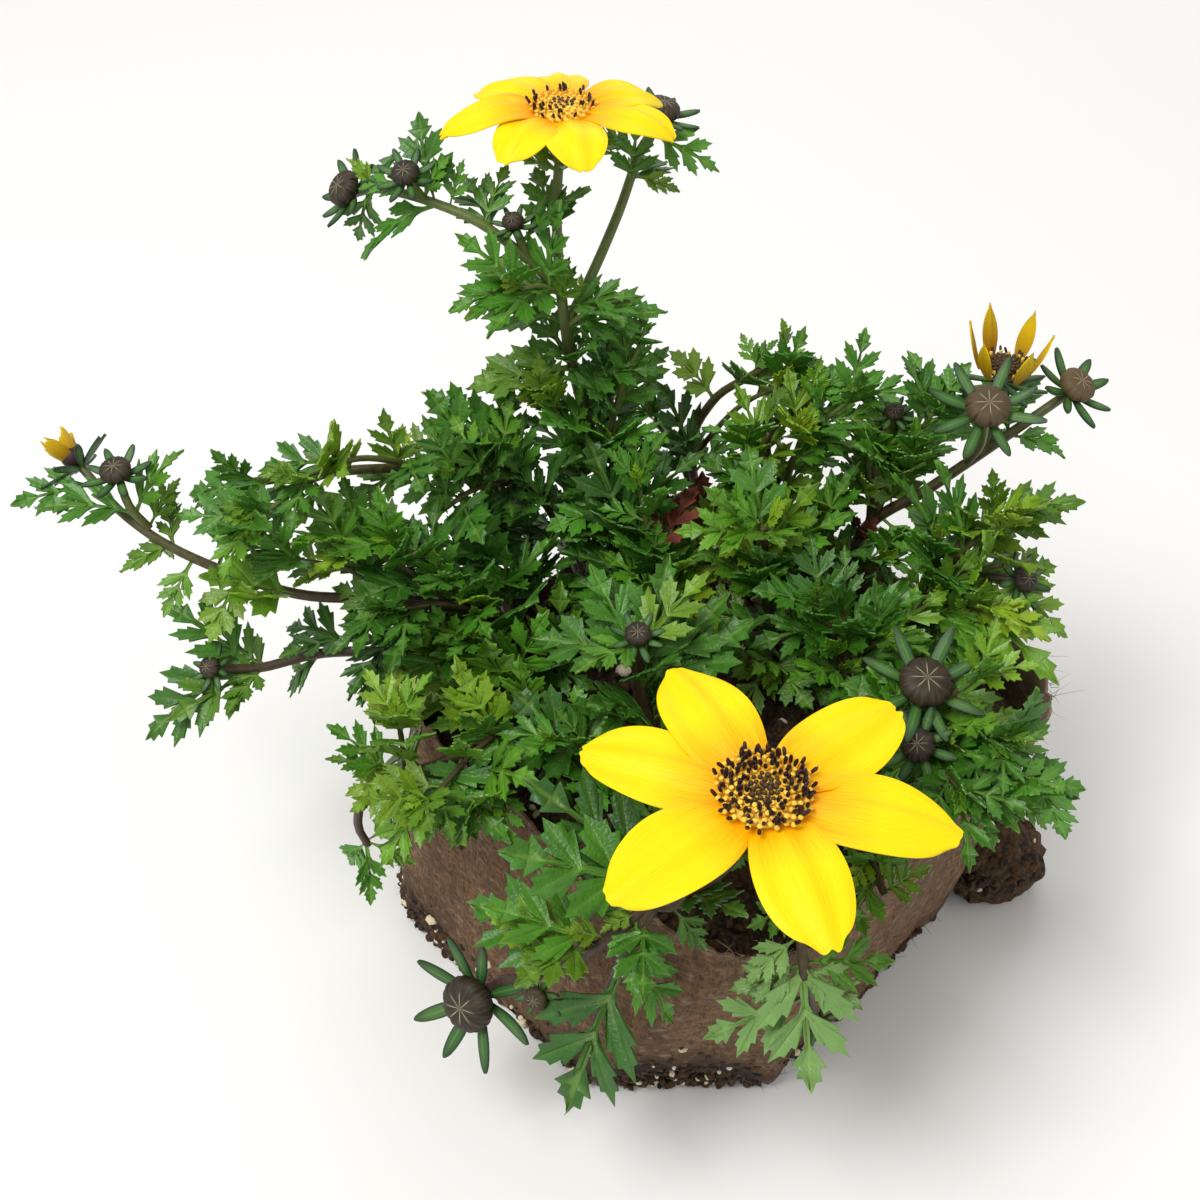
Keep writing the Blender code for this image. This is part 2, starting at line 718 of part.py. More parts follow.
def thick_sheet(top, bottom, triangles, outline):
    """Points and faces of a closed sheet, split alike on both faces."""
    count = len(top)
    faces = [tuple(f) for f in triangles]
    faces += [tuple(v + count for v in reversed(f)) for f in faces]
    for a, b in zip(outline, outline[1:] + outline[:1]):
        faces += [(b, a, a + count), (b, a + count, b + count)]
    return np.vstack([top, bottom]), faces


def sound(mesh):
    """Whether the mesh is closed and crosses itself nowhere."""
    shape = bmesh.new()
    shape.from_mesh(mesh)
    closed = all(edge.is_manifold for edge in shape.edges)
    tree = BVHTree.FromBMesh(shape)
    corners = [{vertex.index for vertex in face.verts} for face in shape.faces]
    crossed = any(not corners[a] & corners[b] for a, b in tree.overlap(tree))
    shape.free()
    return closed and not crossed


def thinned(body):
    """Fewer triangles after a union, which leaves tiny ones where its pieces meet."""
    thin = body.modifiers.new("Thin", "DECIMATE")
    whole = body.data
    for share in THINNING:
        thin.ratio = share
        mesh = bpy.data.meshes.new_from_object(body.evaluated_get(bpy.context.evaluated_depsgraph_get()))
        if sound(mesh):
            whole = mesh
            break
    body.modifiers.clear()
    body.data = whole


def joined(name, pieces, look, into):
    """One body from the first piece and the others, by a Boolean union."""
    body = pieces[0]
    if len(pieces) > 1:
        rest = collection(name + "_pieces")
        for piece in pieces[1:]:
            for home in piece.users_collection:
                home.objects.unlink(piece)
            rest.objects.link(piece)
        union = body.modifiers.new("Join", "BOOLEAN")
        union.operation = "UNION"
        union.solver = "EXACT"
        union.operand_type = "COLLECTION"
        union.collection = rest
        graph = bpy.context.evaluated_depsgraph_get()
        mesh = bpy.data.meshes.new_from_object(body.evaluated_get(graph))
        body.modifiers.clear()
        body.data = mesh
        thinned(body)
        for piece in list(rest.objects):
            bpy.data.objects.remove(piece)
        bpy.data.collections.remove(rest)
    body.name = name
    for home in body.users_collection:
        home.objects.unlink(body)
    into.objects.link(body)
    finish(body, look)
    return body


def leaf_solid(name, blade, kind, into):
    points, triangles, outline = PLANS[kind]
    s, t = points[:, 0], points[:, 1]
    half = np.full(len(s), BLADE / 2)
    solid = thick_sheet(blade.at(s, t, half), blade.at(s, t, -half), triangles, outline)
    return mesh_object(name, *solid, into)


def bract_star(name, head, into):
    """The narrow bracts spread under a head, in one plate."""
    _, kind, centre, axis, radius = head
    across, back = around(axis)
    reach = bract_reach(kind, radius)
    hub = 0.5 * (BLOOMS[kind]["disc"] if kind in BLOOMS else radius) + 0.3
    slope = 0.04 if kind in BLOOMS else 0.24
    rings = []
    for i in range(BRACTS):
        for place, far in ((i, hub), (i + 0.5, reach)):
            angle = 2 * math.pi * place / BRACTS
            rings.append((far, math.cos(angle), math.sin(angle)))
    plan = [across * far * x + back * far * y + axis * (slope * (far - hub)) for far, x, y in rings]
    plan = np.vstack([plan, [np.zeros(3)]]) + centre
    outline = list(range(len(rings)))
    triangles = [(len(rings), a, b) for a, b in zip(outline, outline[1:] + outline[:1])]
    half = axis * BLADE / 2
    return mesh_object(name, *thick_sheet(plan + half, plan - half, triangles, outline), into)


def turned_rings(centre, axis, rows, count, seams=0.0):
    """A body of revolution from rows of (height, radius), with every other point drawn in by the seams."""
    across, back = around(axis)
    angle = np.arange(count) * 2 * math.pi / count
    ring = across * np.cos(angle)[:, None] + back * np.sin(angle)[:, None]
    groove = np.where(np.arange(count) % 2, 1.0 - seams, 1.0)[:, None]
    points = [centre + axis * height + ring * groove * radius for height, radius in rows[1:-1]]
    points = np.vstack(points + [[centre + axis * rows[0][0]], [centre + axis * rows[-1][0]]])
    low, high = len(points) - 2, len(points) - 1
    faces = []
    for i in range(count):
        j = (i + 1) % count
        faces.append((low, j, i))
        for k in range(len(rows) - 3):
            a, b = k * count, (k + 1) * count
            faces += [(a + i, a + j, b + j), (a + i, b + j, b + i)]
        last = (len(rows) - 3) * count
        faces.append((high, last + i, last + j))
    return points, faces


def bud_head(name, head, look, into):
    """A flattened closed bud with eight seams that meet on top."""
    _, _, centre, axis, radius = head
    seat = BLADE / 2 + GAP
    profile = ((0.0, 0.0), (0.36, 0.98), (0.84, 0.82), (1.08, 0.0))
    rows = [(seat + height * radius, share * radius) for height, share in profile]
    obj = mesh_object(name, *turned_rings(centre, axis, rows, 16, seams=0.07), into)
    finish(obj, look)
    return obj


def ray_solid(name, head, angle, length, into):
    """One petal: a grid of points, wide in the middle and blunt at the tip."""
    blade = ray_blade(head, angle, length)
    half_width = BLOOMS[head[1]]["width"] / 2 / blade.length
    along = np.linspace(0.0, 1.0, 6)
    across = np.array((-1.0, 0.0, 1.0))
    s, t = np.meshgrid(along, across, indexing="ij")
    width = np.sin(math.pi * (0.13 + 0.80 * s)) ** 0.8 * half_width
    s = s - 0.05 * (s > 0.99) * np.abs(t)
    index = np.arange(s.size).reshape(s.shape)
    triangles = []
    for i in range(len(along) - 1):
        for j in range(2):
            a, b, c, d = index[i, j], index[i, j + 1], index[i + 1, j + 1], index[i + 1, j]
            triangles += [(a, b, c), (a, c, d)] if j else [(a, b, d), (b, c, d)]
    outline = list(index[:, -1]) + list(index[-1, -2::-1]) + list(index[-2::-1, 0]) + list(index[0, 1:-1])
    outline = [int(v) for v in outline]
    half = np.full(s.size, BLADE / 2)
    flat = s.ravel(), (t * width).ravel()
    solid = thick_sheet(blade.at(*flat, half), blade.at(*flat, -half), triangles, outline)
    return mesh_object(name, *solid, into)


def bloom_rays(name, head, look, into):
    """The petals on the flat ring that joins them."""
    _, kind, centre, axis, _ = head
    bloom = BLOOMS[kind]
    across, back = around(axis)
    low, high = BLADE / 2 + 0.55, RAY_HEIGHT + 0.6
    count = 12
    angle = np.arange(count) * 2 * math.pi / count
    ring = across * np.cos(angle)[:, None] + back * np.sin(angle)[:, None]
    far = bloom["foot"] + 1.2
    seat = centre + axis * low
    points = np.vstack([seat + ring * far, seat + axis * (high - low) + ring * far])
    faces = [tuple(reversed(range(count))), tuple(range(count, 2 * count))]
    faces += [(i, (i + 1) % count, (i + 1) % count + count, i + count) for i in range(count)]
    pieces = [mesh_object(name, points, faces, into)]
    for i, (turn, length) in enumerate(bloom["rays"]):
        pieces.append(ray_solid(f"{name}_{i}", head, turn, length, into))
    return joined(name, pieces, look, into)


def bloom_disc(name, head, look, into):
    """The dome of small tubular florets: the open ones in rings at its edge, the closed ones inside."""
    _, kind, centre, axis, _ = head
    disc = BLOOMS[kind]["disc"]
    across, back = around(axis)
    seat = RAY_HEIGHT + BLADE + GAP
    tall = 0.26 * disc
    rows = [(seat, 0), (seat, 0.80 * disc), (seat + 0.6 * tall, 0.76 * disc), (seat + tall, 0.4 * disc)]
    rows.append((seat + tall, 0))
    pieces = [mesh_object(name, *turned_rings(centre, axis, rows, 12), into)]
    rings = ((0.76, 13, 0.8, 1.0), (0.44, 7, 1.1, 1.0), (0.12, 2, 1.2, 0.95))
    for ring, (out, most, height, size) in enumerate(rings):
        count = most if disc > 3 else most // 2 + 1
        for i in range(count):
            angle = 2 * math.pi * (i + 0.5 * (ring % 2)) / count
            lean = across * math.cos(angle) + back * math.sin(angle)
            foot = centre + axis * (seat + 0.15) + lean * (out * disc)
            way = unit(axis + 0.4 * out * lean)
            high = height * tall + 0.9
            spread = 0.15 * disc * size
            profile = [(0.0, 0), (0.0, spread), (high, 0)]
            pieces.append(mesh_object(f"{name}_{ring}_{i}", *turned_rings(foot, way, profile, 4), into))
    return joined(name, pieces, look, into)


def opening_petals(name, head, look, into):
    """The short petals that have pushed out of a bud, around its core."""
    _, _, centre, axis, radius = head
    across, back = around(axis)
    seat = BLADE / 2 + GAP
    profile = ((0.0, 0.0), (0.3, 0.6), (1.1, 0.6), (1.5, 0.0))
    rows = [(seat + height * radius, share * radius) for height, share in profile]
    pieces = [mesh_object(name, *turned_rings(centre, axis, rows, 8), into)]
    points, triangles, outline = PLANS["young"]
    s, t = points[:, 0], points[:, 1]
    half = np.full(len(s), BLADE / 2)
    petals = 5
    for i in range(petals):
        angle = 2 * math.pi * i / petals
        out = across * math.cos(angle) + back * math.sin(angle)
        foot = centre + axis * (seat + (0.62 + 0.03 * i) * radius) + out * 0.36 * radius
        blade = Blade(foot, unit(out * 0.5 + axis), out, 1.8 * radius, -25, curl=-0.5)
        solid = thick_sheet(blade.at(s, t * 1.5, half), blade.at(s, t * 1.5, -half), triangles, outline)
        pieces.append(mesh_object(f"{name}_{i}", *solid, into))
    return joined(name, pieces, look, into)


# The pot


def square_outline(half, corner, count):
    """Points and outward normals at even steps round a rounded square whose corners lie on X and Y."""
    straight = 2 * (half - corner)
    arc = math.pi / 2 * corner
    points, normals = [], []
    for place in np.arange(count) / count * 4 * (straight + arc):
        quarter, rest = divmod(place + arc / 2, straight + arc)
        angle = math.radians(90 * quarter - 45)
        if rest < arc:
            turn = angle + rest / corner
            normal = np.array((math.cos(turn), math.sin(turn)))
            hub = math.sqrt(2.0) * (half - corner)
            centre = hub * np.array((math.cos(angle + math.pi / 4), math.sin(angle + math.pi / 4)))
            points.append(centre + normal * corner)
        else:
            turn = angle + math.pi / 2
            normal = np.array((math.cos(turn), math.sin(turn)))
            along = np.array((-normal[1], normal[0]))
            points.append(normal * half + along * (rest - arc - straight / 2))
        normals.append(normal)
    return np.array(points), np.array(normals)


def sleeve_ring(heights, inset):
    """Points round the sleeve at one height for each, drawn in from its outer face by the inset."""
    ring = []
    for i, z in enumerate(heights):
        half, corner, middle, front = sleeve_section(z)
        points, normals = square_outline(half, corner, AROUND)
        u = 2 * math.pi * i / AROUND
        wrinkle = 0.35 * math.sin(5 * u) + 0.25 * math.sin(9 * u + 1.0)
        place = points[i] + normals[i] * (wrinkle - inset)
        ring.append((place[0] + middle, max(place[1], front + inset), z))
    return np.array(ring)


def rim_heights():
    u = 2 * math.pi * np.arange(AROUND) / AROUND
    ragged = 0.7 * np.sin(3 * u + 0.5) + 0.5 * np.sin(8 * u) + 0.4 * np.sin(17 * u + 2.0)
    return SLEEVE_HEIGHT - 0.4 + ragged


def foot_heights():
    """The sleeve's torn lower edge: just above the floor, higher at the front and at the left."""
    u = 2 * math.pi * np.arange(AROUND) / AROUND
    front = np.exp(-(((u - 4.62) / 0.34) ** 2))
    left = np.exp(-(((u - 3.3) / 0.3) ** 2))
    return 1.8 + 0.4 * np.sin(11 * u) + 6.0 * front + 3.0 * left


def band(lower, upper):
    """The triangles between two rings of points round the sleeve."""
    a, b = lower * AROUND, upper * AROUND
    faces = []
    for i in range(AROUND):
        j = (i + 1) % AROUND
        faces += [(a + i, a + j, b + j), (a + i, b + j, b + i)]
    return faces


def fibre_sleeve(look, into):
    foot, rim = foot_heights(), rim_heights()
    shares = (0.0, 0.35, 0.7, 1.0)
    outer = [sleeve_ring(foot + (rim - foot) * share, 0.0) for share in shares]
    inner = [sleeve_ring(foot + (rim - foot) * share, SLEEVE_WALL) for share in reversed(shares)]
    rings = outer + inner
    faces = [f for k in range(len(rings)) for f in band(k, (k + 1) % len(rings))]
    obj = mesh_object("fibre_sleeve", np.vstack(rings), faces, into)
    finish(obj, look)


def growing_medium(look, into, cutters):
    """The block of medium: flat below, spread under the sleeve's foot, rough on top, with stem holes."""
    inset = SLEEVE_WALL + GAP + 0.5
    u = 2 * math.pi * np.arange(AROUND) / AROUND
    top = MEDIUM_TOP + 0.7 * np.sin(4 * u + 1.0) + 0.4 * np.sin(9 * u)
    ledge = foot_heights() - GAP - 0.1
    edge = sleeve_ring(top, inset + 2.5)
    rings = [
        sleeve_ring(np.zeros(AROUND), 1.0),
        sleeve_ring(ledge, 0.2),
        sleeve_ring(ledge, inset + 0.1),
        sleeve_ring(top - 2.0, inset),
        edge,
        np.column_stack([edge[:, :2] * 0.5, top + 0.8]),
    ]
    faces = [f for k in range(len(rings) - 1) for f in band(k, k + 1)]
    last = (len(rings) - 1) * AROUND
    points = np.vstack(rings + [[(FOOT_SHIFT, 0.0, 0.0)], [(0.0, 0.0, MEDIUM_TOP + 0.6)]])
    low, high = len(points) - 2, len(points) - 1
    for i in range(AROUND):
        j = (i + 1) % AROUND
        faces += [(low, j, i), (high, last + i, last + j)]
    obj = mesh_object("growing_medium", points, faces, into)
    for name, shoot in STEMS.items():
        reach = (shoot.radii[0] + GAP) / math.cos(math.pi / STEM_SIDES)
        x, y, _ = shoot.path[0]
        bpy.ops.mesh.primitive_cylinder_add(
            vertices=STEM_SIDES,
            radius=reach * MM,
            depth=(MEDIUM_TOP - HOLE_FLOOR + 8) * MM,
            location=(x * MM, y * MM, (HOLE_FLOOR + MEDIUM_TOP + 8) / 2 * MM),
        )
        cutter = bpy.context.object
        cutter.name = "hole_for_" + name
        for home in cutter.users_collection:
            home.objects.unlink(cutter)
        cutters.objects.link(cutter)
        cutter.hide_render = True
        cutter.display_type = "WIRE"
    cut = obj.modifiers.new("Stem holes", "BOOLEAN")
    cut.operation = "DIFFERENCE"
    cut.operand_type = "COLLECTION"
    cut.collection = cutters
    finish(obj, look)


def soil_lump(look, into):
    """A loose lump of medium on the floor against the sleeve's right side."""
    shape = bmesh.new()
    bmesh.ops.create_icosphere(shape, subdivisions=2, radius=1.0)
    draw = random.Random(7)
    wave = [(draw.uniform(1.5, 3.5), draw.uniform(0, 6.28)) for _ in range(3)]
    for vertex in shape.verts:
        x, y, z = vertex.co
        swell = 1.0 + 0.13 * sum(math.sin(k * c * 2 + p) for (k, p), c in zip(wave, (x, y, z)))
        place = Vector((x * 9.5, y * 8.0, z * 9.0)) * swell
        vertex.co = Vector((45.0 + place.x, 4.0 + place.y, max(place.z + 4.5, 0.0))) * MM
    for vertex in shape.verts:
        spot = np.array(vertex.co) / MM
        outside = wall_distance(spot)
        if outside < 1.2:
            push = (1.2 - outside) * MM / math.sqrt(2.0)
            vertex.co.x += push
            vertex.co.y += push * (1 if spot[1] > 0 else -1)
    mesh = bpy.data.meshes.new("soil_lump")
    shape.to_mesh(mesh)
    shape.free()
    obj = bpy.data.objects.new("soil_lump", mesh)
    into.objects.link(obj)
    finish(obj, look)


def build():
    clear_scene()
    plant = collection("potted_bidens")
    cutters = collection("cutters")
    leaf_green = material("leaf_green", (0.09, 0.24, 0.05), 0.55)
    bud_brown = material("bud_brown", (0.07, 0.05, 0.03), 0.6)
    petal_yellow = material("petal_yellow", (0.95, 0.72, 0.01), 0.5)
    floret_brown = material("floret_brown", (0.16, 0.08, 0.02), 0.7)
    fibre_brown = material("fibre_brown", (0.12, 0.07, 0.05), 0.95)
    soil_dark = material("soil_dark", (0.04, 0.025, 0.016), 0.95)

    fibre_sleeve(fibre_brown, plant)
    growing_medium(soil_dark, plant, cutters)
    soil_lump(soil_dark, plant)

    layout = Layout()
    pieces = {owner: [] for owner in STEMS}
    for owner, path, widths in layout.tubes:
        pieces[owner].append(tube(f"{owner}_tube_{len(pieces[owner])}", path, widths, plant))
    for i, (owner, blade, kind) in enumerate(layout.leaves):
        pieces[owner].append(leaf_solid(f"{owner}_leaf_{i}", blade, kind, plant))
    buds = 0
    for head in layout.heads:
        owner, kind = head[:2]
        pieces[owner].append(bract_star(f"{owner}_bracts_{len(pieces[owner])}", head, plant))
        if kind == "bud":
            buds += 1
            bud_head(f"bud_{buds:02d}", head, bud_brown, plant)
        elif kind == "opening_bud":
            opening_petals("opening_bud", head, petal_yellow, plant)
        else:
            bloom_rays(f"{kind}_rays", head, petal_yellow, plant)
            bloom_disc(f"{kind}_disc", head, floret_brown, plant)
    for owner, parts in pieces.items():
        joined(owner, parts, leaf_green, plant)
    return layout


LAYOUT = build()
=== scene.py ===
"""A potted bidens in flower, dressed for the eye around the packed model of it.

Each plain solid of the model gives way to a fine piece of the same form. The small leaves, crumbs, fibres
and pale grains that the solids leave out are added. Lengths are in millimetres until a mesh is made, +Z is
up, and the camera looks from -Y.
"""

import functools
import itertools
import math
import random
from dataclasses import dataclass
from typing import NamedTuple

import bpy
import bmesh
import numpy as np
from mathutils import Euler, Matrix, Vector
from mathutils.bvhtree import BVHTree
from numpy.linalg import norm


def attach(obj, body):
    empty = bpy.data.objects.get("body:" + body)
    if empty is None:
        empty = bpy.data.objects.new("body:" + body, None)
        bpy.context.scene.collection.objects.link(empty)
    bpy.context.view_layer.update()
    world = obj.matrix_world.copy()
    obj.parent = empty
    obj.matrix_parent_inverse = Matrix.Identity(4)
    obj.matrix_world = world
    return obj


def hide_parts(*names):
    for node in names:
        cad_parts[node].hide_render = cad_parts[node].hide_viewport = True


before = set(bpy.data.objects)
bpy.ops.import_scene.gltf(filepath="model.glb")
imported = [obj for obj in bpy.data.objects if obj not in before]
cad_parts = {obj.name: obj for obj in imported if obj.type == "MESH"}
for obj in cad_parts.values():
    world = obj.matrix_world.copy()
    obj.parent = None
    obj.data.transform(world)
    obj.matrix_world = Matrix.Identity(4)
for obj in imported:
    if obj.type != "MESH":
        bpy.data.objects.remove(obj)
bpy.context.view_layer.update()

bl_info = {
    "name": "Potted bidens",
    "version": (1, 0, 0),
    "blender": (4, 5, 0),
    "location": "View3D > Sidebar > Bidens",
    "description": "Grows a potted bidens in flower from numpy surfaces",
    "category": "Add Mesh",
}

MM = 0.001
TURN = 2 * math.pi
GAP = 0.3  # clearance between pieces that touch

# The sleeve: a rounded square standing on one corner of its plan, wider at the rim
SLEEVE_HEIGHT = 50.0
SLEEVE_WALL = 1.2
RIM_HALF, RIM_CORNER = 38.0, 14.0
FOOT_HALF, FOOT_CORNER = 36.0, 12.0
FOOT_SHIFT = -8.0  # the soft sleeve leans: its foot lies this far along X from its rim
FRONT_AT_FOOT, FRONT_AT_RIM = -37.0, -49.0  # the squashed front corner reaches this far along Y, at most
MEDIUM_TOP = 43.0
HOLE_FLOOR = 27.0

BLADE = 0.7  # thickness of a leaf, bract or petal
STEP_ALONG_STEM = 7.5
LEAF_SPACING = 2.2  # between leaves along a stem, least
SUNK = 0.5  # how far a leaf's base reaches into its stem
BRACTS = 8  # in the star under each bud and bloom
RAY_HEIGHT = 1.9  # from the middle of a bloom's star of bracts to the sheet of its petals
FINE_ROOM = 0.3  # clearance round a leaf that only the fine model has
FLOOR_ROOM, WALL_ROOM, RIM_ROOM, MEDIUM_ROOM = 1.0, 1.0, 3.0, 2.6  # how far leaves keep from the pot
LEAVES_FROM = MEDIUM_TOP + 3  # the lowest place of a leaf on its stem


# Plan of the sleeve


def sleeve_section(rise):
    """Half side, corner radius, X of the middle and front limit of the sleeve at a share of its height."""
    half = FOOT_HALF + (RIM_HALF - FOOT_HALF) * rise
    corner = FOOT_CORNER + (RIM_CORNER - FOOT_CORNER) * rise
    front = FRONT_AT_FOOT + (FRONT_AT_RIM - FRONT_AT_FOOT) * rise
    return half, corner, FOOT_SHIFT * (1.0 - rise), front


def wall_distance(point):
    """How far a point lies outside the sleeve's outer face, negative inside it."""
    rise = min(max(point[2] / SLEEVE_HEIGHT, 0.0), 1.0)
    half, corner, middle, front = sleeve_section(rise)
    along = (point[0] - middle + point[1]) / math.sqrt(2.0)
    across = (point[1] - point[0] + middle) / math.sqrt(2.0)
    a, b = abs(along) - (half - corner), abs(across) - (half - corner)
    square = math.hypot(max(a, 0.0), max(b, 0.0)) + min(max(a, b), 0.0) - corner
    return max(square, front - point[1])


def clear_of_pot(point):
    if point[2] < FLOOR_ROOM:
        return False
    outside = wall_distance(point)
    if point[2] < SLEEVE_HEIGHT + RIM_ROOM and -SLEEVE_WALL - WALL_ROOM < outside < WALL_ROOM:
        return False
    return outside > 0.0 or point[2] > MEDIUM_TOP + MEDIUM_ROOM


# The plant's layout


@dataclass
class Shoot:
    """A stem or side shoot: the points it passes through, its radius at both ends and what grows on it.

    pairs holds (share of its length, leaf length) of each opposite pair. tips holds the points that
    single leaves reach. tuft is (count, length) of the young leaves around its end. head is what it
    ends in.
    """

    path: tuple
    radii: tuple
    pairs: tuple = ()
    tips: tuple = ()
    tuft: tuple = ()
    head: str = ""
    head_radius: float = 0.0
    side: tuple = ()


class Head(NamedTuple):
    """What a shoot ends in: its stem, its kind, where it sits, its axis and a bud's radius."""

    owner: str
    kind: str
    centre: np.ndarray
    axis: np.ndarray
    radius: float


def root(x, y):
    """The straight start of a stem, down in its hole in the medium."""
    return (x, y, HOLE_FLOOR + 1), (x, y, MEDIUM_TOP - 1), (x, y, MEDIUM_TOP + 4)


def bud(path, radius, tuft=()):
    """A side shoot that ends in a closed bud."""
    return Shoot(path, (0.65, 0.6), head="bud", head_radius=radius, tuft=tuft)


